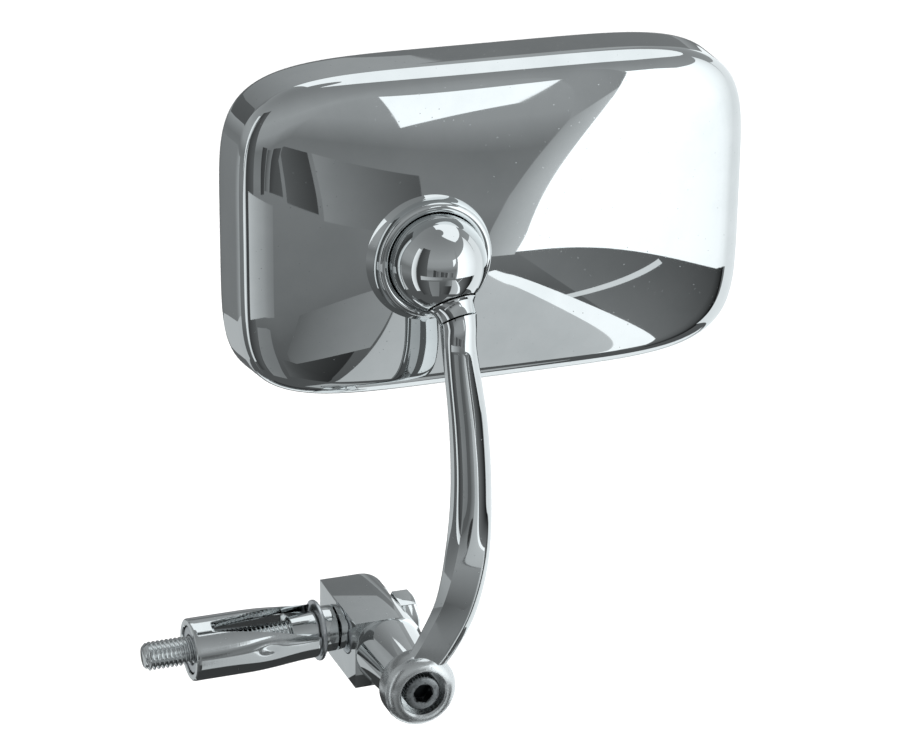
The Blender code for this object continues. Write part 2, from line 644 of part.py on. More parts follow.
def build_bolt(parts, cutters, materials):
    """M8 hex bolt, fully threaded, with its spring washer under the head."""
    shank = ((0, BOLT_TIP_X), (BOLT_R - BOLT_POINT, BOLT_TIP_X), (BOLT_R, BOLT_TIP_X + BOLT_POINT),
             (BOLT_R, BOLT_HEAD_X + 1), (0, BOLT_HEAD_X + 1))
    shape = turned(shank, ORIGIN, X_AXIS, 36)
    bolt = object_from(shape, "expander_bolt", parts, materials["expander_bolt"])
    hexagon = regular_polygon(6, BOLT_HEAD_FLATS, ORIGIN, X_AXIS, BOLT_HEAD_TURN)
    start = Vector((BOLT_HEAD_X, 0, 0))
    end = Vector((BOLT_HEAD_X + BOLT_HEAD_HEIGHT, 0, 0))
    head = object_from(prism(hexagon, start, end), "bolt_head_add", cutters)
    crown = ((0, BOLT_HEAD_X - 1), (BOLT_CROWN_REACH_R, BOLT_HEAD_X - 1),
             (BOLT_CROWN_REACH_R, end.x - BOLT_CROWN_DROP), (BOLT_CROWN_R, end.x), (0, end.x))
    crown_keep = object_from(turned(crown, ORIGIN, X_AXIS, 48), "bolt_crown_keep", cutters)
    combine(head, crown_keep, "INTERSECT")
    combine(bolt, head, "UNION")
    ring = tube_profile(BUSH_BORE_R, SPRING_WASHER_OUTER_R, *SPRING_WASHER_X)
    washer = object_from(turned(ring, ORIGIN, X_AXIS, 36, ring=True),
                         "bolt_spring_washer", parts, materials["bolt_spring_washer"])
    side = SPRING_WASHER_SPLIT / 2
    gap = [Vector((0, y, z)) for y, z in ((-side, 2), (side, 2), (side, 8), (-side, 8))]
    split = object_from(prism(gap, X_AXIS * 16, X_AXIS * 19), "washer_split_cut", cutters)
    combine(washer, split, "DIFFERENCE")


def build_bushes(parts, materials):
    """Spacer, flange ring, spreader cone and nut: the turned pieces threaded on the bolt."""
    rings = {
        "spacer_bush": tube_profile(BUSH_BORE_R, SPACER_R, *SPACER_X),
        "flange_ring": ((BUSH_BORE_R, RING_X[0]), (RING_R, RING_X[0]), (RING_R, RING_X[1] - RING_EDGE),
                        (RING_R - RING_EDGE, RING_X[1]), (BUSH_BORE_R, RING_X[1])),
        "spreader_cone": ((BUSH_BORE_R, CONE_X[0]), (CONE_RADII[0], CONE_X[0]), (CONE_RADII[1], CONE_X[1]),
                          (BUSH_BORE_R, CONE_X[1])),
        "expander_nut": tube_profile(BUSH_BORE_R, NUT_R, *NUT_X),
    }
    for name, profile in rings.items():
        object_from(turned(profile, ORIGIN, X_AXIS, 40, ring=True), name, parts, materials[name])


def build_sleeve(parts, cutters, material):
    """Expander sleeve: a tube with two opposed tapering slots that leave two fingers."""
    start, end = SLEEVE_X
    shoulder = NUT_X[1] + FIT_GAP
    profile = ((NUT_POCKET_R, start), (SLEEVE_R - SLEEVE_EDGE, start), (SLEEVE_R, start + SLEEVE_EDGE),
               (SLEEVE_R, SLEEVE_TAPER_X[0]), (SLEEVE_WAIST_R, SLEEVE_TAPER_X[1]), (SLEEVE_END_R, end),
               (SLEEVE_BORE_R, end), (SLEEVE_BORE_R, shoulder), (NUT_POCKET_R, shoulder))
    shape = turned(profile, ORIGIN, X_AXIS, 48, ring=True)
    sleeve = object_from(shape, "expander_sleeve", parts, material)
    slot_up = Vector((0, -math.sin(SLOT_TILT), math.cos(SLOT_TILT)))
    slot_side = Vector((0, math.cos(SLOT_TILT), math.sin(SLOT_TILT)))
    corners = []
    for x, width in zip(SLOT_X, SLOT_HALF_WIDTHS):
        corners.append(Vector((x, 0, 0)) - slot_side * width)
        corners.append(Vector((x, 0, 0)) + slot_side * width)
    outline = [corners[0], corners[1], corners[3], corners[2]]
    slot = object_from(prism(outline, slot_up * -12, slot_up * 12), "sleeve_slot_cut", cutters)
    combine(sleeve, slot, "DIFFERENCE")


def build_all():
    clear_scene()
    parts = new_collection("bar_end_mirror")
    cutters = new_collection("cutters")
    materials = {name: make_material(name, *look) for name, look in MATERIALS.items()}
    build_housing(parts, cutters, materials["mirror_housing"])
    build_glass_stack(parts, materials)
    build_socket(parts, cutters, materials["ball_socket"])
    build_seats(parts, cutters, materials)
    build_spring_stack(parts, cutters, materials)
    build_spring(parts, materials["seat_spring"])
    build_ball_stud(parts, materials["ball_stud"])
    build_arm(parts, cutters, materials["mirror_arm"])
    build_eye_screw(parts, cutters, materials)
    build_knuckle(parts, cutters, materials["knuckle_block"])
    build_bolt(parts, cutters, materials)
    build_bushes(parts, materials)
    build_sleeve(parts, cutters, materials["expander_sleeve"])


build_all()
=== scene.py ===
"""Looks of the handlebar-end rearview mirror: finished meshes, worn chrome and the studio.

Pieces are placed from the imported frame. Meshes are drawn in millimetres and stored in metres.
"""
import json
from math import asin, copysign, cos, exp, pi, radians, sin

import bmesh
import bpy
from mathutils import Matrix, Vector


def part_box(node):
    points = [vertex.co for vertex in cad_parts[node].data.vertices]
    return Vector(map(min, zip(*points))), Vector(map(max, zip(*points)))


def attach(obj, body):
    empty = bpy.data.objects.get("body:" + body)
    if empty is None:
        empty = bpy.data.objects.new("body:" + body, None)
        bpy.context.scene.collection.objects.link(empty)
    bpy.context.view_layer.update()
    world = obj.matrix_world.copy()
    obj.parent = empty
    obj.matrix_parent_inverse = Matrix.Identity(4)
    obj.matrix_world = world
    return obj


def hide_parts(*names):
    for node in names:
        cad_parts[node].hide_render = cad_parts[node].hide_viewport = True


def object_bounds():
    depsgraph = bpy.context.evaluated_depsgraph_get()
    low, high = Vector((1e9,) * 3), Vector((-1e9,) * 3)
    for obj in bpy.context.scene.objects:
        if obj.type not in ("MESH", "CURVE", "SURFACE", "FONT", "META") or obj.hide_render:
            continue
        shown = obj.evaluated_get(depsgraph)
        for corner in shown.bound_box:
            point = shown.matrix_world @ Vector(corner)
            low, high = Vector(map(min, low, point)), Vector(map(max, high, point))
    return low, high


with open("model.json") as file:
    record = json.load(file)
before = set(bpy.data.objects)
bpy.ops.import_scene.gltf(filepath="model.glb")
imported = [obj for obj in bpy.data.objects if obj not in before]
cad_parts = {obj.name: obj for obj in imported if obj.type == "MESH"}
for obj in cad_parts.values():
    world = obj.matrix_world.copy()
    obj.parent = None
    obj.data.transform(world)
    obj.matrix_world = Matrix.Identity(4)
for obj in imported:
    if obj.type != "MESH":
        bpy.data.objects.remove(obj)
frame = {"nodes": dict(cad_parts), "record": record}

CAD_BOX = [list(corner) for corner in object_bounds()]
MM = 0.001
FIT_GAP = 0.3
SMOOTH_ANGLE = radians(32)
X_AXIS = Vector((1, 0, 0))
Y_AXIS = Vector((0, 1, 0))
Z_AXIS = Vector((0, 0, 1))


def cad_box(node):
    """The node's lowest and highest corners in millimetres."""
    low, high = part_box(node)
    return low / MM, high / MM


# Sizes read from the frame

HEAD_LOW, HEAD_HIGH = cad_box("mirror_housing")
HEAD_CENTRE = (HEAD_LOW + HEAD_HIGH) / 2
HEAD_WIDTH = HEAD_HIGH.x - HEAD_LOW.x
HEAD_HEIGHT = HEAD_HIGH.z - HEAD_LOW.z
LIP_Y = HEAD_HIGH.y
BOSS_FRONT_Y = HEAD_LOW.y
SOCKET_LOW, SOCKET_HIGH = cad_box("ball_socket")
FLANGE_R = (SOCKET_HIGH.x - SOCKET_LOW.x) / 2
JOINTS = frame["record"]["behaviour"]["joints"]
BALL_JOINT = next(joint for joint in JOINTS if joint["name"] == "head_turn")
BALL_CENTRE = Vector(BALL_JOINT["pos_m"]) / MM
STUD_DIRECTION = Vector(BALL_JOINT["axis"]).normalized()
SOCKET_R = BALL_CENTRE.y - SOCKET_LOW.y
GLASS_LOW, GLASS_HIGH = cad_box("mirror_glass")
GASKET_LOW, GASKET_HIGH = cad_box("glass_gasket")
BLOCK_LOW, BLOCK_HIGH = cad_box("knuckle_block")
BLOCK_R = BLOCK_HIGH.z
BOLT_LOW, BOLT_HIGH = cad_box("expander_bolt")
SLEEVE_LOW, SLEEVE_HIGH = cad_box("expander_sleeve")
SLEEVE_R = SLEEVE_HIGH.z
NUT_LOW, NUT_HIGH = cad_box("expander_nut")
CONE_LOW, CONE_HIGH = cad_box("spreader_cone")
RING_LOW, RING_HIGH = cad_box("flange_ring")
SPACER_LOW, SPACER_HIGH = cad_box("spacer_bush")
SPRING_WASHER_LOW, SPRING_WASHER_HIGH = cad_box("bolt_spring_washer")
SCREW_LOW, SCREW_HIGH = cad_box("eye_screw")
WASHER_LOW, WASHER_HIGH = cad_box("lock_washer")

# A point on each axis that pieces are turned about
SOCKET_AXIS = Vector((BALL_CENTRE.x, 0, BALL_CENTRE.z))
EYE_AXIS = Vector(((SCREW_LOW.x + SCREW_HIGH.x) / 2, 0, 0))
BOLT_AXIS = Vector((0, 0, 0))

# Head

CORNER_POWER = 5.2
CENTRE_POWER = 2.0
OUTLINE_STEPS = 288
OUTLINE_SAMPLES = 7200
DOME_RINGS = 34
DOME_RING_SPACING = 0.8
DOME_RISE = 8.0
DOME_FLATNESS = 2.2
DOME_EDGE_POWER = 0.75
DOME_INNER_SCALE = 0.999
SHEET = 1.0
RIM_TAPER = 0.8
WALL_END_TAPER = RIM_TAPER * 0.9
WALL_LOOPS = (0.05, 0.35, 0.65, 0.95)
RIM_DEPTH = 16.0
EDGE_FILLET = 4.0
FILLET_STEPS = 12
LIP_ROLL_STEPS = 8
SHELL_BORE_Y = (-42.0, -28.0)

# Boss: its lip round the socket, then how far out and at which Y its skirt spreads
BOSS_R = 15.6
BOSS_LAP = 0.05
BOSS_LIP_SHIFT = 0.1
BOSS_LIP_HEIGHT = 0.8
BOSS_LIP_ANGLES = tuple(radians(170 - 10 * k) for k in range(18))
BOSS_FOOT_Y = -31.5
BOSS_SKIRT = ((0.1, -34.9), (0.9, -33.6), (2.6, BOSS_FOOT_Y))

GASKET_WIDTH = 1.5
GASKET_LAP = 2.0
GASKET_EDGE = 0.5
GLASS_SEAM = 0.5
GLASS_BACK_EDGE = 0.4
GLASS_BEVEL = 0.9

# Ball joint

MOUTH_R = 6.5
SOCKET_INNER_R = 10.9
FLANGE_Y = -30.6
FLANGE_THICKNESS = 1.2
STUD_PATH = (2, 22)
STEM_R = 4.0
COLLAR_END = 13.3 + 2.6
SHANK_R = 2.5
SHANK_END = COLLAR_END + 4.0
BALL_R = 8.7

# Neck: a skin that hugs the socket out to an angle, then narrows like a trumpet
NECK_R = 5.0
NECK_GAP = 0.25
NECK_ANGLE = radians(28.5)
NECK_FALL = 3.6
NECK_STEPS = 16

# Arm: stations (x, y, z, width) down its centreline, its section, and the eye at its foot

ARM_STATIONS = (
    (18.2, -48.7, 98.0, 9.2),
    (21.3, -47.5, 77.0, 10.4),
    (23.2, -45.3, 57.0, 11.2),
    (23.0, -43.8, 38.5, 11.6),
    (20.4, -43.1, 23.5, 11.2),
    (15.5, -42.7, 13.0, 10.6),
    (10.5, -42.6, 6.0, 9.0),
)
ARM_TOP_WIDTH = 9.6
ARM_DEPTH_RATIO = 0.74
ARM_RINGS_PER_STATION = 20
ARM_SECTION_POINTS = 96
CREASE_START = radians(-128)
CREASE_END = radians(-153)
FRONT_HALF = radians(42)
SIDE_HALF = radians(24)
FLARE_FALL = 26.0
SECTION_R = 1.06
# Where each change happens, as shares of the way from the ball stud to the eye
THINNING = (0.0, 0.25)
FLATTENING = (0.42, 0.60)
CREASE_SHIFT = (0.42, 0.85)
STUD_HOLE_START = 11
EYE_R = 10.2
EYE_FRONT_Y = -46.9
EYE_BACK_Y = -38.3
EYE_ROUNDING = 3.6
EYE_BORE_R = 3.4
COUNTERBORE_R = 6.3
COUNTERBORE_DEPTH = 5.6
COUNTERBORE_EDGE = 0.5

# Eye screw and toothed washer
SCREW_HEAD_R = 5.0
SCREW_HEAD_HEIGHT = 5.0
SCREW_R = 3.0
KNURL_RIDGES = 36
KNURL_DEPTH = 0.22
HEX_KEY_FLATS = 5.0
HEX_KEY_DEPTH = 3.0
HEX_KEY_TURN = radians(12)
WASHER_TEETH = 20
WASHER_HALF = 0.22
TOOTH_DEPTH = 0.65
TOOTH_TWIST = 0.16
TOOTH_FOOT_R = 6.4

# Knuckle block and its boss for the arm
BLOCK_DEPTH = 19.6
BLOCK_NOSE_R = 8.0
BLOCK_FAR_Y = 11.3
BLOCK_NEAR_Y = -19.2
BLOCK_LOW_CORNER_R = 10.0
BLOCK_SOFTENING = 0.5
ARM_BOSS_ROOT_R = 9.6
ARM_BOSS_TIP_R = 8.0
SCREW_HOLE_R = 3.3
SCREW_HOLE_END_Y = -20.0
BOLT_HOLE_R = 4.4
SPOT_FACE_X = 16.7
SPOT_FACE_R = 8.6

# Clamp bolt, its split washer and the bore of the pieces on it
THREAD_PITCH = 1.25
THREAD_DEPTH = 0.74
THREAD_END_X = -2.0
THREAD_ROWS = 10
THREAD_POINTS = 48
THREAD_TIP_R = 2.9
THREAD_TIP_SLOPE = 0.9
BOLT_R = 4.0
BOLT_HEAD_X = 18.5
BOLT_HEAD_FLATS = 13.0
BOLT_HEAD_TURN = radians(9)
BOLT_CROWN_R = 6.1
BOLT_CROWN_DROP = 1.7
SPLIT_ANGLE = radians(94)
SPLIT_WIDTH = 0.12
SPLIT_SPRING = 0.09
BUSH_BORE_R = 4.3

# Expander sleeve: its slot, its barrel shape, and the dent (depth, length, width) in its front finger
SLOT_TILT = radians(25)
SLOT_X = (-36.0, -4.0)
SLOT_NARROW = 1.8
SLOT_WIDE = 6.4
SLEEVE_ROWS = 64
SLEEVE_BORE_R = 6.0
NUT_POCKET_R = 6.8
SLEEVE_TIP_R = 7.5
SLEEVE_TAPER_X = -27.0
SLEEVE_TAPER_POWER = 1.2
PINCH_X = -21.0
LONG_DENT = (0.40, 7.0, 3.0)
DEEP_DENT = (0.16, 2.4, 1.4)


# Mesh helpers

def link_mesh(bm, name):
    mesh = bpy.data.meshes.new(name)
    bm.to_mesh(mesh)
    bm.free()
    obj = bpy.data.objects.new(name, mesh)
    bpy.context.scene.collection.objects.link(obj)
    return obj


def store(bm, name):
    """Turns the millimetre bmesh into a linked object in metres."""
    bmesh.ops.remove_doubles(bm, verts=bm.verts, dist=1e-4)
    bmesh.ops.recalc_face_normals(bm, faces=bm.faces)
    bmesh.ops.scale(bm, vec=(MM, MM, MM), verts=bm.verts)
    return link_mesh(bm, name)


def settle(obj, helpers=(), angle=SMOOTH_ANGLE):
    """Applies the modifiers, removes the helpers, and smooths all but the sharp edges."""
    bpy.context.view_layer.update()
    graph = bpy.context.evaluated_depsgraph_get()
    mesh = bpy.data.meshes.new_from_object(obj.evaluated_get(graph))
    old = obj.data
    obj.modifiers.clear()
    obj.data = mesh
    bpy.data.meshes.remove(old)
    for helper in helpers:
        bpy.data.objects.remove(helper, do_unlink=True)
    mesh.name = obj.name
    mesh.shade_smooth()
    mesh.set_sharp_from_angle(angle=angle)
    return obj


def loft(loops, wrap=False):
    """Skins a list of equal-length point loops. A one-point loop at an end closes it with a fan."""
    bm = bmesh.new()
    rings = [[bm.verts.new(point) for point in loop] for loop in loops]
    pairs = list(zip(rings, rings[1:]))
    if wrap:
        pairs.append((rings[-1], rings[0]))
    for lower, upper in pairs:
        count = max(len(lower), len(upper))
        for i in range(count):
            j = (i + 1) % count
            corners = [lower[i % len(lower)], lower[j % len(lower)],
                       upper[j % len(upper)], upper[i % len(upper)]]
            bm.faces.new(list(dict.fromkeys(corners)))
    if not wrap:
        for end in (rings[0], rings[-1]):
            if len(end) > 1:
                bm.faces.new(end)
    return bm


def axis_frame(axis):
    """The unit axis and two unit vectors across it."""
    axis = Vector(axis).normalized()
    helper = Z_AXIS if abs(axis.z) < 0.9 else X_AXIS
    across = axis.cross(helper).normalized()
    return axis, across, axis.cross(across)


def turned(profile, origin, axis, steps=128, ring=False, shape=None):
    """Revolves (radius, distance along the axis) points. shape(angle, radius, along) may change them."""
    axis, across, third = axis_frame(axis)
    loops = []
    for radius, along in profile:
        if radius == 0:
            loops.append([origin + axis * along])
            continue
        loop = []
        for i in range(steps):
            angle = 2 * pi * i / steps
            r, h = shape(angle, radius, along) if shape else (radius, along)
            loop.append(origin + axis * h + (across * cos(angle) + third * sin(angle)) * r)
        loops.append(loop)
    return loft(loops, wrap=ring)


def softened(profile, radius, steps=4):
    """Rounds the corners of a closed (radius, along) profile, except on the axis."""
    points = [Vector(point) for point in profile]
    rounded = []
    for i, point in enumerate(points):
        before = points[i - 1]
        after = points[(i + 1) % len(points)]
        if point.x == 0:
            rounded.append(tuple(point))
            continue
        cut_before = min(radius, (before - point).length * 0.45)
        cut_after = min(radius, (after - point).length * 0.45)
        start = point + (before - point).normalized() * cut_before
        finish = point + (after - point).normalized() * cut_after
        for k in range(steps + 1):
            t = k / steps
            rounded.append(tuple(start * (1 - t) ** 2 + point * 2 * t * (1 - t) + finish * t ** 2))
    return rounded


def arc_points(radius, start, end, steps):
    """(radius, along) points on a sphere between two angles from the axis."""
    angles = [start + (end - start) * i / steps for i in range(steps + 1)]
    return [(radius * sin(a), radius * cos(a)) for a in angles]


def circle_round_bolt(x, radius, steps):
    angles = [2 * pi * i / steps for i in range(steps)]
    return [Vector((x, radius * cos(a), radius * sin(a))) for a in angles]


def prism(points, start, end):
    """Skins a flat outline between two offsets."""
    return loft([[point + start for point in points], [point + end for point in points]])


def regular_polygon(sides, flats, origin, axis, turn=0.0):
    axis, across, third = axis_frame(axis)
    radius = flats / 2 / cos(pi / sides)
    angles = [turn + 2 * pi * i / sides for i in range(sides)]
    return [origin + (across * cos(a) + third * sin(a)) * radius for a in angles]


def combine(obj, other, operation):
    modifier = obj.modifiers.new(other.name, "BOOLEAN")
    modifier.operation = operation
    modifier.object = other
    modifier.solver = "EXACT"
    other.hide_render = True


def soften_edges(obj, width, angle=40, segments=3):
    modifier = obj.modifiers.new("softened edges", "BEVEL")
    modifier.width = width * MM
    modifier.segments = segments
    modifier.limit_method = "ANGLE"
    modifier.angle_limit = radians(angle)
    modifier.use_clamp_overlap = True


def rod(radius, start, end, origin, axis, name, steps=96):
    profile = ((0, start), (radius, start), (radius, end), (0, end))
    return store(turned(profile, origin, axis, steps), name)


# Materials

class Nodes:
    """Short calls for building one material's node tree."""

    def __init__(self, name, metallic=0.0):
        self.material = bpy.data.materials.new(name)
        self.material.use_nodes = True
        self.tree = self.material.node_tree
        self.shader = self.tree.nodes["Principled BSDF"]
        self.shader.inputs["Metallic"].default_value = metallic
        self.place = self.add("ShaderNodeTexCoord").outputs["Object"]

    def add(self, kind, **values):
        node = self.tree.nodes.new(kind)
        for key, value in values.items():
            setattr(node, key, value)
        return node

    def link(self, source, target):
        self.tree.links.new(source, target)

    def noise(self, scale, detail=4.0, roughness=0.55, stretch=(1, 1, 1)):
        mapping = self.add("ShaderNodeMapping")
        mapping.inputs["Scale"].default_value = stretch
        self.link(self.place, mapping.inputs["Vector"])
        node = self.add("ShaderNodeTexNoise")
        node.inputs["Scale"].default_value = scale
        node.inputs["Detail"].default_value = detail
        node.inputs["Roughness"].default_value = roughness
        self.link(mapping.outputs["Vector"], node.inputs["Vector"])
        return node.outputs["Fac"]

    def spots(self, scale, size):
        """1 in small scattered spots, 0 elsewhere."""
        node = self.add("ShaderNodeTexVoronoi")
        node.inputs["Scale"].default_value = scale
        self.link(self.place, node.inputs["Vector"])
        return self.remap(node.outputs["Distance"], size * 0.5, size, 1.0, 0.0)

    def remap(self, source, low, high, to_low, to_high):
        node = self.add("ShaderNodeMapRange")
        limits = {"From Min": low, "From Max": high, "To Min": to_low, "To Max": to_high}
        for key, value in limits.items():
            node.inputs[key].default_value = value
        self.link(source, node.inputs["Value"])
        return node.outputs["Result"]

    def maths(self, operation, a, b):
        node = self.add("ShaderNodeMath", operation=operation)
        for socket, value in zip(node.inputs, (a, b)):
            if isinstance(value, (int, float)):
                socket.default_value = value
            else:
                self.link(value, socket)
        return node.outputs["Value"]

    def two_tone(self, factor, dark, light):
        node = self.add("ShaderNodeMix", data_type="RGBA")
        node.inputs["A"].default_value = (*dark, 1)
        node.inputs["B"].default_value = (*light, 1)
        self.link(factor, node.inputs["Factor"])
        self.link(node.outputs["Result"], self.shader.inputs["Base Color"])

    def bump(self, height, strength, distance):
        node = self.add("ShaderNodeBump")
        node.inputs["Strength"].default_value = strength
        node.inputs["Distance"].default_value = distance
        self.link(height, node.inputs["Height"])
        self.link(node.outputs["Normal"], self.shader.inputs["Normal"])


def polished_metal(name, dark, light, rough, pits=0.09, grain=0.0, ripple=0.05, satin_below=None):
    """Plated metal: faint waviness, hazy patches, tiny pits and, if asked, fine turning grain.

    Below the height satin_below it turns satin, like a casting that is polished less there.
    """
    n = Nodes(name, metallic=1.0)
    haze = n.noise(55.0, 5.0, 0.6)
    scuff = n.noise(900.0, 3.0, 0.7, (1.0, 0.12, 1.0))
    spots = n.spots(420.0, pits)
    tone = n.maths("MULTIPLY", haze, n.remap(spots, 0.0, 1.0, 1.0, 0.25))
    n.two_tone(n.remap(tone, 0.2, 0.6, 0.0, 1.0), dark, light)
    rough = n.maths("ADD", n.remap(haze, 0.35, 0.75, *rough), n.maths("MULTIPLY", scuff, 0.012))
    rough = n.maths("ADD", rough, n.maths("MULTIPLY", spots, 0.25))
    if satin_below is not None:
        split = n.add("ShaderNodeSeparateXYZ")
        n.link(n.place, split.inputs["Vector"])
        satin = n.remap(split.outputs["Z"], satin_below, satin_below - 0.01, 0.0, 0.24)
        cast_skin = n.remap(n.noise(1400.0), 0.3, 0.7, 0.8, 1.15)
        rough = n.maths("ADD", rough, n.maths("MULTIPLY", satin, cast_skin))
    n.link(rough, n.shader.inputs["Roughness"])
    wave = n.noise(30.0, 2.0, 0.4)
    height = n.maths("ADD", wave, n.maths("MULTIPLY", spots, -0.15))
    if grain:
        lines = n.noise(2600.0, 2.0, 0.5, (1.0, 0.02, 0.02))
        height = n.maths("ADD", height, n.maths("MULTIPLY", lines, grain))
    n.bump(height, ripple, 0.0001)
    return n.material


def plated_steel(name, dark, light, rough):
    """Zinc-plated hardware: blotchy sheen, fine machining streaks and small scratches."""
    n = Nodes(name, metallic=1.0)
    blotch = n.noise(240.0, 5.0, 0.65)
    streak = n.noise(1500.0, 3.0, 0.6)
    n.two_tone(n.remap(blotch, 0.3, 0.7, 0.0, 1.0), dark, light)
    sheen = n.maths("ADD", n.remap(blotch, 0.3, 0.7, *rough), n.maths("MULTIPLY", streak, 0.08))
    n.link(sheen, n.shader.inputs["Roughness"])
    n.bump(n.maths("ADD", streak, n.maths("MULTIPLY", blotch, 0.4)), 0.25, 0.00006)
    return n.material


def socket_screw_steel(name):
    """Dark oiled steel with painted shade in the key socket, brighter towards the rim of the head."""
    n = Nodes(name, metallic=1.0)
    offset = n.add("ShaderNodeVectorMath", operation="MULTIPLY_ADD")
    offset.inputs[1].default_value = (1, 0, 1)
    offset.inputs[2].default_value = tuple(-EYE_AXIS * MM)
    n.link(n.place, offset.inputs[0])
    length = n.add("ShaderNodeVectorMath", operation="LENGTH")
    n.link(offset.outputs["Vector"], length.inputs[0])
    blotch = n.noise(700.0, 5.0, 0.65)
    # Painted shade: near black inside the key socket and lighter out towards the rim of the head, with
    # random blotches on top.
    rim = n.remap(length.outputs["Value"], 0.0024, 0.0031, 0.0, 1.0)
    tone = n.maths("MULTIPLY", rim, n.remap(blotch, 0.3, 0.7, 0.5, 1.0))
    n.two_tone(tone, (0.012, 0.013, 0.014), (0.42, 0.44, 0.45))
    n.link(n.remap(blotch, 0.3, 0.7, 0.2, 0.42), n.shader.inputs["Roughness"])
    n.bump(blotch, 0.25, 0.00005)
    return n.material


def soft_material(name, dark, light, rough, scale, distance):
    """Rubber, card or plastic: mottled colour, uneven sheen and a fine skin."""
    n = Nodes(name)
    mottle = n.noise(scale * 0.2, 5.0, 0.6)
    skin = n.noise(scale, 4.0, 0.7)
    n.two_tone(n.remap(mottle, 0.3, 0.7, 0.0, 1.0), dark, light)
    n.link(n.remap(skin, 0.3, 0.7, *rough), n.shader.inputs["Roughness"])
    n.bump(skin, 0.35, distance)
    return n.material


def silvered_glass(name):
    """Mirror glass: silver under a clear coat, with faint smears and dust."""
    n = Nodes(name, metallic=1.0)
    n.shader.inputs["Coat Weight"].default_value = 1.0
    n.shader.inputs["Coat Roughness"].default_value = 0.01
    dust = n.noise(700.0, 6.0, 0.7)
    smear = n.noise(24.0, 4.0, 0.5, (1.0, 1.0, 0.3))
    n.two_tone(n.remap(smear, 0.3, 0.7, 0.0, 1.0), (0.80, 0.83, 0.83), (0.86, 0.89, 0.89))
    rough = n.maths("ADD", n.remap(smear, 0.4, 0.8, 0.01, 0.035), n.remap(dust, 0.62, 0.9, 0.0, 0.08))
    n.link(rough, n.shader.inputs["Roughness"])
    n.bump(smear, 0.04, 0.0001)
    return n.material


CHROME = ((0.70, 0.725, 0.73), (0.79, 0.81, 0.815))
ZINC = ((0.60, 0.62, 0.64), (0.76, 0.78, 0.80))
OILED = ((0.16, 0.165, 0.17), (0.33, 0.34, 0.35))
RUBBER = ((0.012, 0.012, 0.013), (0.03, 0.03, 0.032))
CARD = ((0.26, 0.21, 0.16), (0.42, 0.36, 0.28))
ACETAL = ((0.66, 0.65, 0.60), (0.76, 0.75, 0.70))
ARM_SATIN_Z = 0.016


def make_materials():
    """The looks by short name, each with a dark and a light tone and a low and a high roughness."""
    return {
        "chrome": polished_metal("polished_chrome", *CHROME, (0.006, 0.022)),
        "cast": polished_metal("chromed_casting", *CHROME, (0.02, 0.06), pits=0.13, ripple=0.12),
        "arm": polished_metal("chromed_arm", *CHROME, (0.015, 0.05), pits=0.13, ripple=0.1,
                              satin_below=ARM_SATIN_Z),
        "bright": polished_metal("bright_turned", *CHROME, (0.05, 0.11), grain=0.3, ripple=0.1),
        "zinc": plated_steel("zinc_plate", *ZINC, (0.20, 0.34)),
        "spring": plated_steel("oiled_spring", *OILED, (0.22, 0.42)),
        "rubber": soft_material("gasket_rubber", *RUBBER, (0.45, 0.7), 900.0, 0.00006),
        "card": soft_material("fibre_card", *CARD, (0.8, 0.95), 500.0, 0.0001),
        "acetal": soft_material("acetal", *ACETAL, (0.32, 0.5), 600.0, 0.00003),
        "glass": silvered_glass("silvered_glass"),
        "key_screw": socket_screw_steel("socket_screw_steel"),
    }


def finish_piece(obj, material, body, slot, stands_in=True):
    """Gives a piece its material and body. Unless stands_in is false, it stands in for the CAD node named
    by slot, which is hidden.
    """
    obj.data.materials.clear()
    obj.data.materials.append(material)
    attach(obj, body)
    if stands_in:
        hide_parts(slot)


# Head

def oblong_point(angle, half_width, half_height, power):
    """A point of an oblong whose corners get tighter as the power grows: an ellipse at 2."""
    c = cos(angle)
    s = sin(angle)
    return (half_width * copysign(abs(c) ** (2 / power), c),
            half_height * copysign(abs(s) ** (2 / power), s))


def even_angles():
    """Angles that space the outline's points evenly along its length."""
    fine = [2 * pi * i / OUTLINE_SAMPLES for i in range(OUTLINE_SAMPLES + 1)]
    points = [Vector(oblong_point(a, HEAD_WIDTH / 2, HEAD_HEIGHT / 2, CORNER_POWER)) for a in fine]
    lengths = [0.0]
    for a, b in zip(points, points[1:]):
        lengths.append(lengths[-1] + (b - a).length)
    angles = []
    k = 0
    for i in range(OUTLINE_STEPS):
        target = lengths[-1] * i / OUTLINE_STEPS
        while lengths[k + 1] < target:
            k += 1
        share = (target - lengths[k]) / (lengths[k + 1] - lengths[k])
        angles.append(2 * pi * (k + share) / OUTLINE_SAMPLES)
    return angles


OUTLINE_ANGLES = even_angles()


def head_outline(inset, y, scale=1.0):
    """The head's rounded-oblong outline, drawn in by inset. Scaled down, it turns into an ellipse."""
    power = CENTRE_POWER + (CORNER_POWER - CENTRE_POWER) * scale ** 2
    half_width = (HEAD_WIDTH / 2 - inset) * scale
    half_height = (HEAD_HEIGHT / 2 - inset) * scale
    loop = []
    for angle in OUTLINE_ANGLES:
        x, z = oblong_point(angle, half_width, half_height, power)
        loop.append(Vector((HEAD_CENTRE.x + x, y, HEAD_CENTRE.z + z)))
    return loop


def dome_y(scale, edge_y):
    """How far back the dome stands where the outline is drawn at this scale."""
    return edge_y - DOME_RISE * (1 - scale ** DOME_FLATNESS) ** DOME_EDGE_POWER


def dome_loops(inset, edge_y, widest):
    """Loops of the domed back from its centre point out to the given scale."""
    loops = [[Vector((HEAD_CENTRE.x, dome_y(0, edge_y), HEAD_CENTRE.z))]]
    for i in range(1, DOME_RINGS + 1):
        scale = widest * (i / DOME_RINGS) ** DOME_RING_SPACING
        loops.append(head_outline(inset, dome_y(scale, edge_y), scale))
    return loops


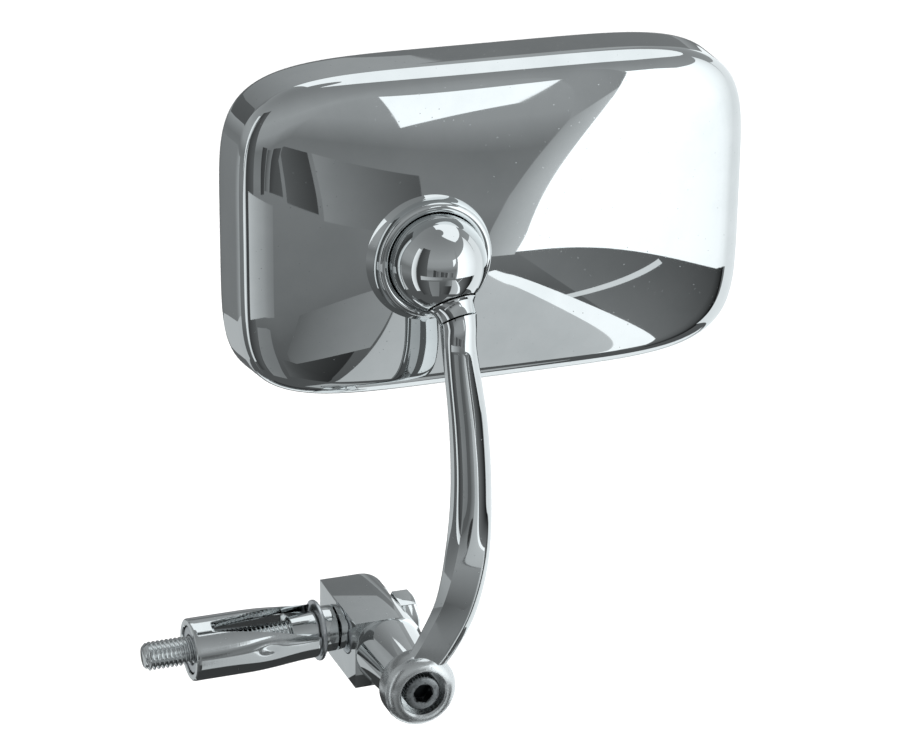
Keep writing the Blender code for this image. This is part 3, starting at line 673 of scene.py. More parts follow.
def curved_between(first, corner, last, steps):
    """Loops that round the corner loop from the first loop to the last."""
    loops = []
    for k in range(1, steps):
        t = k / steps
        loops.append([a * (1 - t) ** 2 + b * 2 * t * (1 - t) + c * t ** 2
                      for a, b, c in zip(first, corner, last)])
    return loops


def build_housing(looks):
    """Pressed shell: domed back, rounded edge, rim wall and rolled lip, bored for the socket."""
    edge_y = LIP_Y - RIM_DEPTH
    widest = 1 - EDGE_FILLET / (HEAD_HEIGHT / 2)
    half_sheet = SHEET / 2
    inner = dome_loops(RIM_TAPER + SHEET, edge_y + SHEET, DOME_INNER_SCALE)
    inner.append(head_outline(SHEET, LIP_Y - half_sheet))
    lip = []
    for k in range(1, LIP_ROLL_STEPS + 1):
        angle = pi * k / LIP_ROLL_STEPS
        lip.append(head_outline(half_sheet * (1 + cos(angle)),
                                LIP_Y - half_sheet + half_sheet * sin(angle)))
    wall = [head_outline(WALL_END_TAPER * t, LIP_Y - SHEET - (RIM_DEPTH - SHEET - EDGE_FILLET) * t)
            for t in WALL_LOOPS]
    wall_end = head_outline(WALL_END_TAPER, edge_y + EDGE_FILLET)
    dome = list(reversed(dome_loops(RIM_TAPER, edge_y, widest)))
    corner = head_outline(RIM_TAPER, edge_y)
    outer = wall + [wall_end] + curved_between(wall_end, corner, dome[0], FILLET_STEPS) + dome
    housing = store(loft(inner + lip + outer), "housing_shell")
    bore = rod(SOCKET_R + FIT_GAP, *SHELL_BORE_Y, SOCKET_AXIS, Y_AXIS, "shell_bore")
    combine(housing, bore, "DIFFERENCE")
    settle(housing, [bore])
    finish_piece(housing, looks["chrome"], "head", "mirror_housing")


def build_boss(looks):
    """Round boss on the dome, with a rounded lip where the socket leans out of it."""
    bore_r = SOCKET_R - BOSS_LAP
    middle = (bore_r + BOSS_R) / 2 + BOSS_LIP_SHIFT
    half = BOSS_R - middle
    rise = half * BOSS_LIP_HEIGHT
    lip = [(middle + half * cos(a), BOSS_FRONT_Y + rise - rise * sin(a))
           for a in BOSS_LIP_ANGLES]
    skirt = [(BOSS_R + spread, y) for spread, y in BOSS_SKIRT]
    profile = [(bore_r, BOSS_FOOT_Y)] + lip + skirt
    boss = settle(store(turned(profile, SOCKET_AXIS, Y_AXIS, 160, ring=True), "housing_boss"))
    finish_piece(boss, looks["chrome"], "head", "mirror_housing", stands_in=False)


def build_gasket(looks):
    """Rubber channel round the glass."""
    outer = GASKET_LOW.x - HEAD_LOW.x
    inner = outer + GASKET_WIDTH
    lap = inner + GASKET_LAP
    front = GASKET_HIGH.y
    back = GASKET_LOW.y
    lip_back = GLASS_HIGH.y + FIT_GAP
    section = ((outer, back), (outer, front - GASKET_EDGE), (outer + GASKET_EDGE, front),
               (lap - 1.2, front), (lap - 0.4, front - 0.2), (lap, lip_back + 0.25),
               (lap - 0.2, lip_back), (inner, lip_back), (inner, back))
    loops = [head_outline(inset, y) for inset, y in section]
    gasket = settle(store(loft(loops, wrap=True), "gasket_channel"), angle=radians(50))
    finish_piece(gasket, looks["rubber"], "head", "glass_gasket")


def build_glass(looks):
    """Flat mirror glass with a ground bevel round its front."""
    edge = GLASS_LOW.x - HEAD_LOW.x
    section = ((edge + GLASS_SEAM, GLASS_LOW.y), (edge, GLASS_LOW.y + GLASS_BACK_EDGE),
               (edge, GLASS_HIGH.y - GLASS_SEAM), (edge + GLASS_BEVEL, GLASS_HIGH.y))
    loops = [head_outline(inset, y) for inset, y in section]
    glass = settle(store(loft(loops), "glass_plate"), angle=radians(12))
    finish_piece(glass, looks["glass"], "head", "mirror_glass")


# Ball joint

def build_socket(looks):
    """Domed cap that holds the ball, with its flange inside the head and a mouth for the stud."""
    outer = arc_points(SOCKET_R, pi, pi / 2, 40)
    inner = arc_points(SOCKET_INNER_R, pi / 2, pi, 24)
    outer[0] = (0, -SOCKET_R)
    inner[-1] = (0, -SOCKET_INNER_R)
    flange = FLANGE_Y - BALL_CENTRE.y
    flange_end = flange + FLANGE_THICKNESS
    tube_end = SOCKET_HIGH.y - BALL_CENTRE.y
    rim = [(SOCKET_R, flange), (FLANGE_R, flange), (FLANGE_R, flange_end), (SOCKET_R, flange_end),
           (SOCKET_R, tube_end), (SOCKET_INNER_R, tube_end)]
    socket = store(turned(outer + rim + inner, BALL_CENTRE, Y_AXIS, 160), "socket_dome")
    mouth = rod(MOUTH_R, *STUD_PATH, BALL_CENTRE, STUD_DIRECTION, "socket_mouth")
    combine(socket, mouth, "DIFFERENCE")
    soften_edges(socket, 0.35, 50, 4)
    settle(socket, [mouth], radians(40))
    finish_piece(socket, looks["chrome"], "head", "ball_socket")


def build_stud(looks):
    """Ball and stem, with a flared neck that follows the socket below its mouth."""
    ball = arc_points(BALL_R, pi, asin(STEM_R / BALL_R), 36)
    ball[0] = (0, -BALL_R)
    hug = arc_points(SOCKET_R + NECK_GAP, asin(STEM_R / SOCKET_R), NECK_ANGLE, 10)
    rim_r, rim_along = hug[-1]
    length = COLLAR_END - 0.2 - rim_along
    trumpet = [(NECK_R + (rim_r - NECK_R) * exp(-NECK_FALL * t),
                rim_along + NECK_GAP + (length - NECK_GAP) * t)
               for t in (k / NECK_STEPS for k in range(NECK_STEPS + 1))]
    shank = [(NECK_R - 0.3, COLLAR_END), (SHANK_R, COLLAR_END), (SHANK_R, SHANK_END), (0, SHANK_END)]
    profile = ball + hug + trumpet + shank
    stud = settle(store(turned(profile, BALL_CENTRE, STUD_DIRECTION, 128), "stud_and_ball"))
    finish_piece(stud, looks["chrome"], "arm", "ball_stud")


# Arm

def smooth_stations():
    """Catmull-Rom points through the arm's stations, each as (centre, width)."""
    top = BALL_CENTRE + STUD_DIRECTION * (COLLAR_END + FIT_GAP)
    rows = [Vector((*top, ARM_TOP_WIDTH))] + [Vector(row) for row in ARM_STATIONS]
    rows = [rows[0] * 2 - rows[1]] + rows + [rows[-1] * 2 - rows[-2]]
    smooth = []
    for a, b, c, d in zip(rows, rows[1:], rows[2:], rows[3:]):
        for i in range(ARM_RINGS_PER_STATION):
            t = i / ARM_RINGS_PER_STATION
            row = (b * 2 + (c - a) * t + (a * 2 - b * 5 + c * 4 - d) * t ** 2
                   + (b * 3 - a - c * 3 + d) * t ** 3) / 2
            smooth.append((row.to_3d(), row[3]))
    smooth.append((rows[-2].to_3d(), rows[-2][3]))
    return smooth


def smooth_step(value, low, high):
    """0 below low, 1 above high and an easy rise between."""
    t = min(max((value - low) / (high - low), 0.0), 1.0)
    return t * t * (3 - 2 * t)


def flattened(angle, crease):
    """Section radius of the lower arm: two flats that meet in a crease, round elsewhere."""
    radius = SECTION_R
    for middle, spread in ((crease + FRONT_HALF, FRONT_HALF), (crease - SIDE_HALF, SIDE_HALF)):
        turn = cos(angle - middle)
        if turn > 0.2:
            radius = min(radius, SECTION_R * cos(spread) / turn)
    return radius


def arm_loops():
    """Section loops down the arm: round at the ball stud, then a flattened section with a ridge."""
    stations = smooth_stations()
    loops = []
    for i, (centre, width) in enumerate(stations):
        before = stations[max(i - 1, 0)][0]
        after = stations[min(i + 1, len(stations) - 1)][0]
        along = (after - before).normalized()
        if i < ARM_RINGS_PER_STATION:
            lean = smooth_step(i / ARM_RINGS_PER_STATION, 0.0, 0.5)
            along = STUD_DIRECTION.lerp(along, lean).normalized()
        across = along.cross(Y_AXIS).normalized()
        depth = across.cross(along)
        share = i / (len(stations) - 1)
        depth_ratio = 1 + (ARM_DEPTH_RATIO - 1) * smooth_step(share, *THINNING)
        flare = (NECK_R * 2 / ARM_TOP_WIDTH - 1) * exp(-share * FLARE_FALL)
        flat = smooth_step(share, *FLATTENING)
        crease = CREASE_START + (CREASE_END - CREASE_START) * smooth_step(share, *CREASE_SHIFT)
        loop = []
        for k in range(ARM_SECTION_POINTS):
            angle = crease + 2 * pi * k / ARM_SECTION_POINTS
            swell = (1 + flare) * (1 + (flattened(angle, crease) - 1) * flat)
            loop.append(centre + (across * cos(angle) + depth * sin(angle) * depth_ratio)
                        * width / 2 * swell)
        loops.append(loop)
    return loops


def build_arm(looks):
    """Cast arm with the eye at its foot, counterbored for the screw and drilled for the stud."""
    arm = store(loft(arm_loops()), "arm_casting")
    r = EYE_ROUNDING
    rounded = [(EYE_R - r + r * sin(a), EYE_FRONT_Y + r - r * cos(a))
               for a in (radians(5 * k) for k in range(19))]
    back = [(EYE_R, EYE_BACK_Y - 1.4), (EYE_R - 0.4, EYE_BACK_Y - 0.4), (EYE_R - 1.4, EYE_BACK_Y),
            (0, EYE_BACK_Y)]
    eye = store(turned([(0, EYE_FRONT_Y)] + rounded + back, EYE_AXIS, Y_AXIS, 160), "eye_add")
    floor = EYE_FRONT_Y + COUNTERBORE_DEPTH
    mouth_r = COUNTERBORE_R + COUNTERBORE_EDGE
    bore_profile = [(0, EYE_FRONT_Y - 2), (mouth_r, EYE_FRONT_Y - 2), (mouth_r, EYE_FRONT_Y),
                    (COUNTERBORE_R, EYE_FRONT_Y + COUNTERBORE_EDGE), (COUNTERBORE_R, floor),
                    (EYE_BORE_R, floor), (EYE_BORE_R, EYE_BACK_Y + 4), (0, EYE_BACK_Y + 4)]
    bore = store(turned(bore_profile, EYE_AXIS, Y_AXIS, 128), "eye_bore")
    stud_hole = rod(SHANK_R + FIT_GAP, STUD_HOLE_START, SHANK_END + 0.5,
                    BALL_CENTRE, STUD_DIRECTION, "stud_hole", 48)
    combine(arm, stud_hole, "DIFFERENCE")
    combine(arm, eye, "UNION")
    combine(arm, bore, "DIFFERENCE")
    settle(arm, [stud_hole, eye, bore])
    finish_piece(arm, looks["arm"], "arm", "mirror_arm")


def build_eye_screw(looks):
    """Socket-head screw with a knurled head, in the eye."""
    head_y = SCREW_LOW.y
    seat_y = head_y + SCREW_HEAD_HEIGHT
    tip_y = SCREW_HIGH.y

    def knurl(angle, radius, along):
        on_side = radius > SCREW_HEAD_R - 0.3 and head_y + 0.5 < along < seat_y - 0.1
        cut = KNURL_DEPTH * (0.5 + 0.5 * cos(KNURL_RIDGES * angle)) if on_side else 0.0
        return radius - cut, along

    profile = [(0, head_y), (4.25, head_y), (4.5, head_y + 0.1), (4.75, head_y + 0.4),
               (SCREW_HEAD_R, head_y + 0.7), (SCREW_HEAD_R, seat_y - 0.4), (4.9, seat_y),
               (SCREW_R, seat_y), (SCREW_R, tip_y - 0.7), (2.4, tip_y), (0, tip_y)]
    screw = store(turned(profile, EYE_AXIS, Y_AXIS, 288, shape=knurl), "socket_screw")
    hexagon = regular_polygon(6, HEX_KEY_FLATS, EYE_AXIS, Y_AXIS, HEX_KEY_TURN)
    key = store(prism(hexagon, Y_AXIS * (head_y - 1), Y_AXIS * (head_y + HEX_KEY_DEPTH)), "hex_key")
    mouth_profile = ((0, head_y - 0.5), (3.3, head_y - 0.5), (2.75, head_y + 0.25), (0, head_y + 0.9))
    mouth = store(turned(mouth_profile, EYE_AXIS, Y_AXIS, 96), "key_mouth")
    combine(screw, key, "DIFFERENCE")
    combine(screw, mouth, "DIFFERENCE")
    settle(screw, [key, mouth])
    finish_piece(screw, looks["key_screw"], "arm", "eye_screw")


def build_lock_washer(looks):
    """Toothed washer: a flat ring whose rim is cut into twisted teeth."""
    middle = (WASHER_LOW.y + WASHER_HIGH.y) / 2
    outer = (WASHER_HIGH.x - WASHER_LOW.x) / 2
    front = middle - WASHER_HALF
    back = middle + WASHER_HALF

    def toothed(angle, radius, along):
        if radius < TOOTH_FOOT_R + 0.1:
            return radius, along
        tooth = min(max(cos(WASHER_TEETH * angle) * 3, -1), 1)
        cut = TOOTH_DEPTH * (1 - tooth) / 2 * (radius - 6.0)
        twist = TOOTH_TWIST * sin(WASHER_TEETH * angle)
        return radius - cut, along + twist * (radius - TOOTH_FOOT_R)

    profile = ((EYE_BORE_R, front), (TOOTH_FOOT_R, front), (outer, front), (outer, back),
               (TOOTH_FOOT_R, back), (EYE_BORE_R, back))
    shape = turned(profile, EYE_AXIS, Y_AXIS, 360, ring=True, shape=toothed)
    washer = settle(store(shape, "toothed_washer"))
    finish_piece(washer, looks["zinc"], "arm", "lock_washer")


# Knuckle

def block_section():
    """D section in the XZ plane: a flat bar-side face and a rounded nose."""
    points = [Vector((0, 0, -BLOCK_R))]
    rise = BLOCK_R - BLOCK_NOSE_R
    steps = 20
    for quarter, side in enumerate((-1, 1)):
        for i in range(steps + 1):
            angle = -pi / 2 + pi / 2 * (quarter + i / steps)
            x = BLOCK_DEPTH - BLOCK_NOSE_R + BLOCK_NOSE_R * cos(angle)
            points.append(Vector((x, 0, side * rise + BLOCK_NOSE_R * sin(angle))))
    points.append(Vector((0, 0, BLOCK_R)))
    return points


def block_side():
    """Side outline in the YZ plane, with the large round at its low far corner."""
    r = BLOCK_LOW_CORNER_R
    low = -BLOCK_R - 0.2
    points = [Vector((0, BLOCK_NEAR_Y - 3, BLOCK_R + 1)), Vector((0, BLOCK_NEAR_Y - 3, low))]
    for i in range(25):
        angle = -pi / 2 + pi / 2 * i / 24
        y = BLOCK_FAR_Y - r + r * cos(angle)
        points.append(Vector((0, y, low + r + r * sin(angle))))
    points.append(Vector((0, BLOCK_FAR_Y, BLOCK_R + 1)))
    return points


def build_knuckle(looks):
    """D-section block with its tapered boss, drilled for the clamp bolt and the eye screw."""
    body = prism(block_section(), Y_AXIS * BLOCK_NEAR_Y, Y_AXIS * (BLOCK_FAR_Y + 1))
    block = store(body, "knuckle_casting")
    side = store(prism(block_side(), X_AXIS * -5, X_AXIS * 30), "side_keep")
    combine(block, side, "INTERSECT")
    root_y = BLOCK_NEAR_Y + 4
    profile = [(0, BLOCK_LOW.y), (ARM_BOSS_TIP_R, BLOCK_LOW.y), (ARM_BOSS_ROOT_R, BLOCK_NEAR_Y),
               (ARM_BOSS_ROOT_R, root_y), (0, root_y)]
    boss = store(turned(softened(profile, 0.5, 5), EYE_AXIS, Y_AXIS, 144), "boss_add")
    combine(block, boss, "UNION")
    cuts = [rod(BOLT_HOLE_R, -3, 25, BOLT_AXIS, X_AXIS, "bolt_hole"),
            rod(SPOT_FACE_R, SPOT_FACE_X, 25, BOLT_AXIS, X_AXIS, "spot_face"),
            rod(SCREW_HOLE_R, BLOCK_LOW.y - 2, SCREW_HOLE_END_Y, EYE_AXIS, Y_AXIS, "screw_hole")]
    for cut in cuts:
        combine(block, cut, "DIFFERENCE")
    soften_edges(block, BLOCK_SOFTENING)
    settle(block, [side, boss] + cuts)
    finish_piece(block, looks["cast"], "knuckle", "knuckle_block")


# Bolt and expander

def thread_radius(phase):
    """Radius over one pitch: sloped flanks between a flat crest and a rounded root."""
    flank = abs(phase - 0.5) * 2
    return BOLT_R - THREAD_DEPTH * smooth_step(flank, 0.12, 0.88)


def build_bolt_shank(looks):
    """Threaded shank: each row of points is one step along the helix."""
    start = BOLT_LOW.x
    rows = int((THREAD_END_X - start) / THREAD_PITCH * THREAD_ROWS)
    loops = [[Vector((start, 0, 0))]]
    for row in range(rows + 1):
        x = start + THREAD_PITCH * row / THREAD_ROWS
        loop = []
        for i in range(THREAD_POINTS):
            turn = i / THREAD_POINTS
            radius = thread_radius((row / THREAD_ROWS - turn) % 1.0)
            radius = min(radius, THREAD_TIP_R + (x - start) * THREAD_TIP_SLOPE)
            angle = 2 * pi * turn
            loop.append(Vector((x, radius * cos(angle), radius * sin(angle))))
        loops.append(loop)
    for x in (THREAD_END_X + 1.0, BOLT_HEAD_X + 1):
        loops.append(circle_round_bolt(x, BOLT_R, THREAD_POINTS))
    loops.append([Vector((BOLT_HEAD_X + 1, 0, 0))])
    shank = settle(store(loft(loops), "bolt_thread"), angle=radians(60))
    finish_piece(shank, looks["cast"], "clamp_bolt", "expander_bolt")


def build_bolt_head(looks):
    """Hexagon head with its corners turned off."""
    end_x = BOLT_HIGH.x
    hexagon = regular_polygon(6, BOLT_HEAD_FLATS, BOLT_AXIS, X_AXIS, BOLT_HEAD_TURN)
    head = store(prism(hexagon, X_AXIS * BOLT_HEAD_X, X_AXIS * end_x), "bolt_head")
    crown_profile = softened([(0, BOLT_HEAD_X - 1), (9, BOLT_HEAD_X - 1), (9, end_x - BOLT_CROWN_DROP),
                              (BOLT_CROWN_R, end_x), (0, end_x)], 0.2)
    crown = store(turned(crown_profile, BOLT_AXIS, X_AXIS, 160), "crown_keep")
    combine(head, crown, "INTERSECT")
    soften_edges(head, 0.18, 25, 3)
    settle(head, [crown])
    finish_piece(head, looks["cast"], "clamp_bolt", "expander_bolt", stands_in=False)


def build_spring_washer(looks):
    """Split spring washer with its ends slightly sprung apart."""
    low = SPRING_WASHER_LOW.x + 0.1
    high = SPRING_WASHER_HIGH.x - 0.1
    inner = BUSH_BORE_R
    outer = SPRING_WASHER_HIGH.z
    section = softened([(inner, low), (outer, low), (outer, high), (inner, high)], 0.2)
    steps = 120
    loops = []
    for i in range(steps + 1):
        share = i / steps
        angle = SPLIT_ANGLE + (2 * pi - SPLIT_WIDTH) * share
        shift = SPLIT_SPRING * (2 * share - 1)
        loops.append([Vector((x + shift, r * cos(angle), r * sin(angle))) for r, x in section])
    washer = settle(store(loft(loops), "split_washer"))
    finish_piece(washer, looks["zinc"], "clamp_bolt", "bolt_spring_washer")


def build_turned_rings(looks):
    """Spacer, flange ring, spreader cone and nut on the bolt, each from its outer (radius, x) points."""
    spacer_r = SPACER_HIGH.z
    ring_r = RING_HIGH.z
    cone_r = CONE_HIGH.z
    nut_r = NUT_HIGH.z
    specs = (
        ("spacer_bush", "bar_plug", "cast", [(spacer_r, SPACER_LOW.x), (spacer_r, SPACER_HIGH.x)]),
        ("flange_ring", "bar_plug", "zinc",
         [(ring_r, RING_LOW.x), (ring_r, RING_HIGH.x - 0.4), (ring_r - 0.5, RING_HIGH.x)]),
        ("spreader_cone", "bar_plug", "cast", [(cone_r - 0.7, CONE_LOW.x), (cone_r, CONE_HIGH.x)]),
        ("expander_nut", "plug_sleeve", "zinc", [(nut_r, NUT_LOW.x), (nut_r, NUT_HIGH.x)]),
    )
    for node, body, look, outside in specs:
        profile = [(BUSH_BORE_R, outside[0][1])] + outside + [(BUSH_BORE_R, outside[-1][1])]
        shape = turned(softened(profile, 0.22), BOLT_AXIS, X_AXIS, 128, ring=True)
        piece = settle(store(shape, f"{node}_turned"))
        finish_piece(piece, looks[look], body, node)


def sleeve_radius(x):
    """Barrel shape of the fingers: full at the nut end, drawn in towards the cone."""
    drawn_in = smooth_step(x, SLEEVE_TAPER_X, SLEEVE_HIGH.x) ** SLEEVE_TAPER_POWER
    return SLEEVE_R - (SLEEVE_R - SLEEVE_TIP_R) * drawn_in


def dent(size, along, across):
    depth, length, width = size
    return depth * exp(-(along / length) ** 2 - (across / width) ** 2)


def pinched(angle, radius, along):
    """Presses a long shallow dent with a small deep one inside into the front finger."""
    if radius < NUT_POCKET_R + 0.1:
        return radius, along
    turn = (angle + pi) % (2 * pi) - pi
    spot = (along - PINCH_X, turn * radius)
    return radius - dent(LONG_DENT, *spot) - dent(DEEP_DENT, *spot), along


def slot_outline(side):
    """Outline of the slot: a rounded end towards the nut, widening to the sleeve's mouth."""
    start, end = SLOT_X
    round_end = [X_AXIS * (start - 0.5 * cos(a)) + side * SLOT_NARROW * sin(a)
                 for a in (radians(-90 + 15 * k) for k in range(13))]
    return round_end + [X_AXIS * end + side * SLOT_WIDE, X_AXIS * end - side * SLOT_WIDE]


def build_sleeve(looks):
    """Expander sleeve: a barrel with two opposed slots and a dent in its front finger."""
    start = SLEEVE_LOW.x
    end = SLEEVE_HIGH.x
    shoulder = NUT_HIGH.x + FIT_GAP
    stations = [start + 0.8 + (end - 0.6 - start) * k / SLEEVE_ROWS for k in range(SLEEVE_ROWS)]
    outside = [(sleeve_radius(x), x) for x in stations if x < end - 0.3]
    profile = [(NUT_POCKET_R, start + 0.2), (NUT_POCKET_R + 0.2, start), (SLEEVE_R - 0.4, start),
               (SLEEVE_R - 0.1, start + 0.25)]
    profile += outside
    profile += [(SLEEVE_TIP_R - 0.2, end), (SLEEVE_BORE_R, end), (SLEEVE_BORE_R, shoulder),
                (NUT_POCKET_R, shoulder)]
    sleeve = store(turned(profile, BOLT_AXIS, X_AXIS, 224, ring=True, shape=pinched), "slotted_sleeve")
    up = Vector((0, -sin(SLOT_TILT), cos(SLOT_TILT)))
    side = Vector((0, cos(SLOT_TILT), sin(SLOT_TILT)))
    slot = store(prism(slot_outline(side), up * -12, up * 12), "slot_cut")
    combine(sleeve, slot, "DIFFERENCE")
    soften_edges(sleeve, 0.18, 48, 2)
    settle(sleeve, [slot], radians(38))
    finish_piece(sleeve, looks["bright"], "plug_sleeve", "expander_sleeve")


HIDDEN_LOOKS = {
    "card": ("glass_backing",),
    "acetal": ("front_seat", "rear_seat"),
    "spring": ("seat_spring",),
    "zinc": ("spring_cup", "spring_retainer", "retainer_screw_1", "retainer_screw_2", "retainer_screw_3"),
}


def dress_hidden_nodes(looks):
    """The CAD nodes inside the head keep their shape and get finished materials."""
    for look, nodes in HIDDEN_LOOKS.items():
        for node in nodes:
            materials = frame["nodes"][node].data.materials
            materials.clear()
            materials.append(looks[look])


# Studio

CAMERA_AZIMUTH = radians(-21.127)
CAMERA_ELEVATION = radians(21.273)
CAMERA_ROLL = radians(0.631)
CAMERA_DISTANCE = 0.8418
CAMERA_TARGET = Vector((0.0392, 0.0124, 0.0661))
CAMERA_SENSOR = 36.0
CAMERA_LENS = CAMERA_SENSOR * 2998.8 / 900.0
FLOOR_HALF = 12000
FLOOR_GAP = 0.25


def build_camera():
    """Camera at the photo's viewing angle."""
    a = CAMERA_AZIMUTH
    e = CAMERA_ELEVATION
    forward = Vector((-sin(a) * cos(e), cos(a) * cos(e), -sin(e)))
    right = Vector((cos(a), sin(a), 0))
    up = right.cross(forward)
    rolled_right = right * cos(CAMERA_ROLL) + up * sin(CAMERA_ROLL)
    rolled_up = up * cos(CAMERA_ROLL) - right * sin(CAMERA_ROLL)
    data = bpy.data.cameras.new("photo_camera")
    data.lens = CAMERA_LENS
    data.sensor_width = CAMERA_SENSOR
    data.clip_start = 0.01
    camera = bpy.data.objects.new("photo_camera", data)
    rotation = Matrix((rolled_right, rolled_up, -forward)).transposed()
    place = Matrix.Translation(CAMERA_TARGET - forward * CAMERA_DISTANCE)
    camera.matrix_world = place @ rotation.to_4x4()
    bpy.context.scene.collection.objects.link(camera)
    bpy.context.scene.camera = camera


def build_floor():
    """Pale floor below the hanging part, which reflections do not see."""
    bm = bmesh.new()
    bmesh.ops.create_grid(bm, x_segments=1, y_segments=1, size=FLOOR_HALF)
    floor = store(bm, "studio_floor")
    floor.location.z = CAD_BOX[0][2] - FLOOR_GAP
    n = Nodes("pale_floor")
    mottle = n.noise(6.0)
    n.two_tone(mottle, (0.94, 0.94, 0.94), (0.97, 0.97, 0.97))
    n.shader.inputs["Roughness"].default_value = 0.9
    floor.data.materials.append(n.material)
    floor.visible_glossy = False


# What the chrome sees. Each panel is a patch of a sphere around the head: its name, its brightness at
# the left and at the right, and four corners as (degrees round from straight behind the mirror, degrees
# up). Earlier panels stand in front of later ones.
PANELS = (
    ("tall_window", 1.25, 1.25, ((15, 5), (22, 12.5), (24.5, 21.5), (16, 20))),
    ("wall_between", 0.36, 0.60, ((20, -22), (23, -22), (27.5, 12), (24, 4))),
    ("wall_above", 0.34, 0.30, ((24, 4), (27, 8), (31, 40), (24.8, 40))),
    ("big_window", 1.60, 0.90, ((22, -21.5), (76, -21.5), (86, 45), (29, 22))),
    ("side_window", 0.90, 1.05, ((68, -44), (158, -44), (142, 20), (86, 32))),
    ("desk_glint", 1.20, 1.20, ((21.2, -25), (22, -24.7), (54, -54), (47, -57))),
    ("desk_top", 0.52, 0.62, ((13, -24), (22, -25), (51, -57), (19, -59))),
    ("desk_line", 0.80, 0.80, ((28.6, -31), (29.2, -31.8), (39.4, -22.6), (38.8, -22))),
    ("desk_shade", 0.20, 0, ((23, -21.5), (68, -21.5), (72, -60), (50, -57))),
    ("low_strip", 0.46, 0.40, ((22, -66), (60, -64), (130, -82), (18, -82))),
    ("near_floor", 0.14, 0.32, ((-2, -38), (15, -38), (13, -24), (-2, -24))),
    ("low_shade", 0.12, 0.03, ((-10, -38), (13, -38), (17, -60), (-10, -60))),
    ("shelf_end", 0.05, 0.08, ((-31, -15.5), (-24.5, -15.5), (-23.5, -1), (-30, 0.5))),
    ("shelf_left", 0.10, 0.22, ((-23.5, -15), (-15.5, -15.5), (-14.5, -3.5), (-22.5, -2))),
    ("shelf_middle", 0.06, 0.10, ((-14.5, -15.5), (-6.5, -16), (-5.5, -5), (-13.5, -3.5))),
    ("shelf_right", 0.12, 0.06, ((-5.6, -16.5), (0.6, -17), (1.6, -6), (-4.6, -5))),
    ("shelf_front", 0.28, 0.10, ((1.4, -17.5), (14, -18), (14.5, -8), (2.4, -6))),
    ("shelf_light", 0.60, 0.24, ((-60, -24), (-10, -23), (-10, -17), (-60, -15))),
    ("left_floor", 0.26, 0.22, ((-42, -66), (-15, -66), (-17, -26), (-42, -26))),
    ("left_strip", 1.10, 0.70, ((-84, -50), (-72, -50), (-70, 40), (-80, 40))),
    ("left_shade", 0.05, 0.12, ((-70, -60), (-46, -60), (-44, 45), (-68, 45))),
    ("left_far_high", 0.12, 0.42, ((-176, -22.8), (-112, -22.8), (-112, -6), (-176, -6))),
    ("left_far_low", 0.50, 0.55, ((-176, -45), (-112, -45), (-112, -22.8), (-176, -22.8))),
    ("floor_behind", 1.00, 1.00, ((100, -80), (215, -80), (215, -52), (100, -46))),
    ("back_low", 0.22, 0.10, ((146, 8), (215, 8), (215, 23), (148, 23))),
    ("back_high", 0.42, 0.18, ((148, 23), (215, 23), (215, 44), (148, 44))),
    ("overhead", 1.10, 1.10, ((50, 52), (180, 44), (180, 80), (20, 80))),
)
PANEL_RADIUS = 2.5
PANEL_SPACING = 0.04
PANEL_STEPS = 16
ROOM_TINT = (0.95, 1.0, 1.02)
# Brightness of the rest of the room, from straight down (0) to straight up (1)
ROOM_RAMP = ((0.10, 0.10), (0.26, 0.13), (0.38, 0.24), (0.48, 0.20), (0.56, 0.34), (0.68, 0.38),
             (1.0, 0.24))
FLAG_HALF = (0.028, 0.020)
FLAG_PLACE = (-0.020, -0.003, -0.030)
FLAG_LEVEL = 0.05
LIGHT_PLACE = Vector((0.5, -0.6, 1.6))
LIGHT_SIZE = 1.6
LIGHT_WATTS = 22.0


def panel_point(centre, azimuth, elevation, radius):
    a = radians(azimuth)
    e = radians(elevation)
    direction = Vector((sin(a) * cos(e), -cos(a) * cos(e), sin(e)))
    return centre + direction * radius


def glow_material(name):
    """Light whose strength is stored on the mesh."""
    material = bpy.data.materials.new(name)
    material.use_nodes = True
    tree = material.node_tree
    level = tree.nodes.new("ShaderNodeAttribute")
    level.attribute_name = "level"
    glow = tree.nodes.new("ShaderNodeEmission")
    glow.inputs["Color"].default_value = (*ROOM_TINT, 1)
    tree.links.new(level.outputs["Fac"], glow.inputs["Strength"])
    tree.links.new(glow.outputs["Emission"], tree.nodes["Material Output"].inputs["Surface"])
    return material


def stage_reflector(obj, levels, material):
    """A patch of light or shade that only reflections see."""
    attribute = obj.data.attributes.new("level", "FLOAT", "POINT")
    attribute.data.foreach_set("value", levels)
    obj.data.materials.append(material)
    obj.visible_camera = False
    obj.visible_diffuse = False
    obj.visible_shadow = False


def build_panel(name, left, right, corners, radius, material):
    """One panel, as bright as left at its left side and as right at its right side."""
    centre = HEAD_CENTRE * MM
    lower_left, lower_right, upper_right, upper_left = (Vector(corner) for corner in corners)
    bm = bmesh.new()
    rows = []
    levels = []
    for j in range(PANEL_STEPS + 1):
        v = j / PANEL_STEPS
        row = []
        for i in range(PANEL_STEPS + 1):
            u = i / PANEL_STEPS
            levels.append(left + (right - left) * u)
            spot = lower_left.lerp(lower_right, u).lerp(upper_left.lerp(upper_right, u), v)
            row.append(bm.verts.new(panel_point(centre, spot.x, spot.y, radius)))
        rows.append(row)
    for low, high in zip(rows, rows[1:]):
        for i in range(PANEL_STEPS):
            bm.faces.new((low[i], low[i + 1], high[i + 1], high[i]))
    stage_reflector(link_mesh(bm, name), levels, material)


def build_low_flag(material):
    """A small dark card under the sleeve, seen in the undersides of the fittings."""
    bm = bmesh.new()
    bmesh.ops.create_grid(bm, x_segments=1, y_segments=1, size=1000)
    flag = store(bm, "low_flag")
    flag.scale = (*FLAG_HALF, 1)
    flag.location = FLAG_PLACE
    stage_reflector(flag, [FLAG_LEVEL] * 4, material)


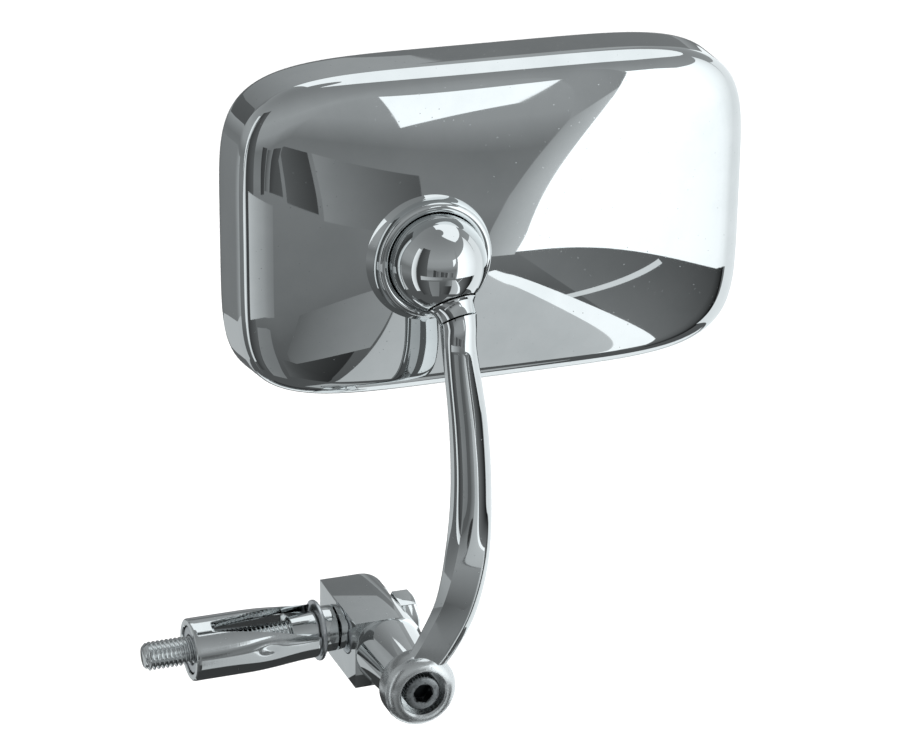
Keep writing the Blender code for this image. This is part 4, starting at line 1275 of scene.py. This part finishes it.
def build_world():
    """White to the camera and to matt surfaces, a dim room to polished ones."""
    world = bpy.data.worlds.new("studio")
    world.use_nodes = True
    bpy.context.scene.world = world
    nodes = world.node_tree.nodes
    link = world.node_tree.links.new
    place = nodes.new("ShaderNodeTexCoord")
    split = nodes.new("ShaderNodeSeparateXYZ")
    link(place.outputs["Generated"], split.inputs["Vector"])
    height = nodes.new("ShaderNodeMapRange")
    height.inputs["From Min"].default_value = -1.0
    link(split.outputs["Z"], height.inputs["Value"])
    ramp = nodes.new("ShaderNodeValToRGB")
    elements = ramp.color_ramp.elements
    while len(elements) < len(ROOM_RAMP):
        elements.new(0.5)
    for element, (position, level) in zip(elements, ROOM_RAMP):
        element.position = position
        element.color = (*(level * part for part in ROOM_TINT), 1)
    link(height.outputs["Result"], ramp.inputs["Fac"])
    path = nodes.new("ShaderNodeLightPath")
    mix = nodes.new("ShaderNodeMix")
    mix.data_type = "RGBA"
    mix.inputs["A"].default_value = (1, 1, 1, 1)
    link(path.outputs["Is Glossy Ray"], mix.inputs["Factor"])
    link(ramp.outputs["Color"], mix.inputs["B"])
    link(mix.outputs["Result"], nodes["Background"].inputs["Color"])
    nodes["Background"].inputs["Strength"].default_value = 1.0


def build_reflections():
    """The panels and the low card, each panel a little further out than the one before."""
    glow = glow_material("room_glow")
    for order, (name, left, right, corners) in enumerate(PANELS):
        build_panel(name, left, right, corners, PANEL_RADIUS + PANEL_SPACING * order, glow)
    build_low_flag(glow)


def build_light():
    """One broad soft light overhead."""
    data = bpy.data.lights.new("overhead_soft", "AREA")
    data.shape = "DISK"
    data.size = LIGHT_SIZE
    data.energy = LIGHT_WATTS
    light = bpy.data.objects.new("overhead_soft", data)
    light.location = LIGHT_PLACE
    light.rotation_euler = LIGHT_PLACE.to_track_quat("Z", "Y").to_euler()
    light.visible_glossy = False
    bpy.context.scene.collection.objects.link(light)


PIECE_BUILDERS = (
    build_housing, build_boss, build_gasket, build_glass, build_socket, build_stud, build_arm,
    build_eye_screw, build_lock_washer, build_knuckle, build_bolt_shank, build_bolt_head,
    build_spring_washer, build_turned_rings, build_sleeve,
)


def main():
    looks = make_materials()
    for build in PIECE_BUILDERS:
        build(looks)
    dress_hidden_nodes(looks)
    build_camera()
    build_floor()
    build_world()
    build_reflections()
    build_light()
    bpy.context.scene.view_settings.view_transform = "Standard"


main()
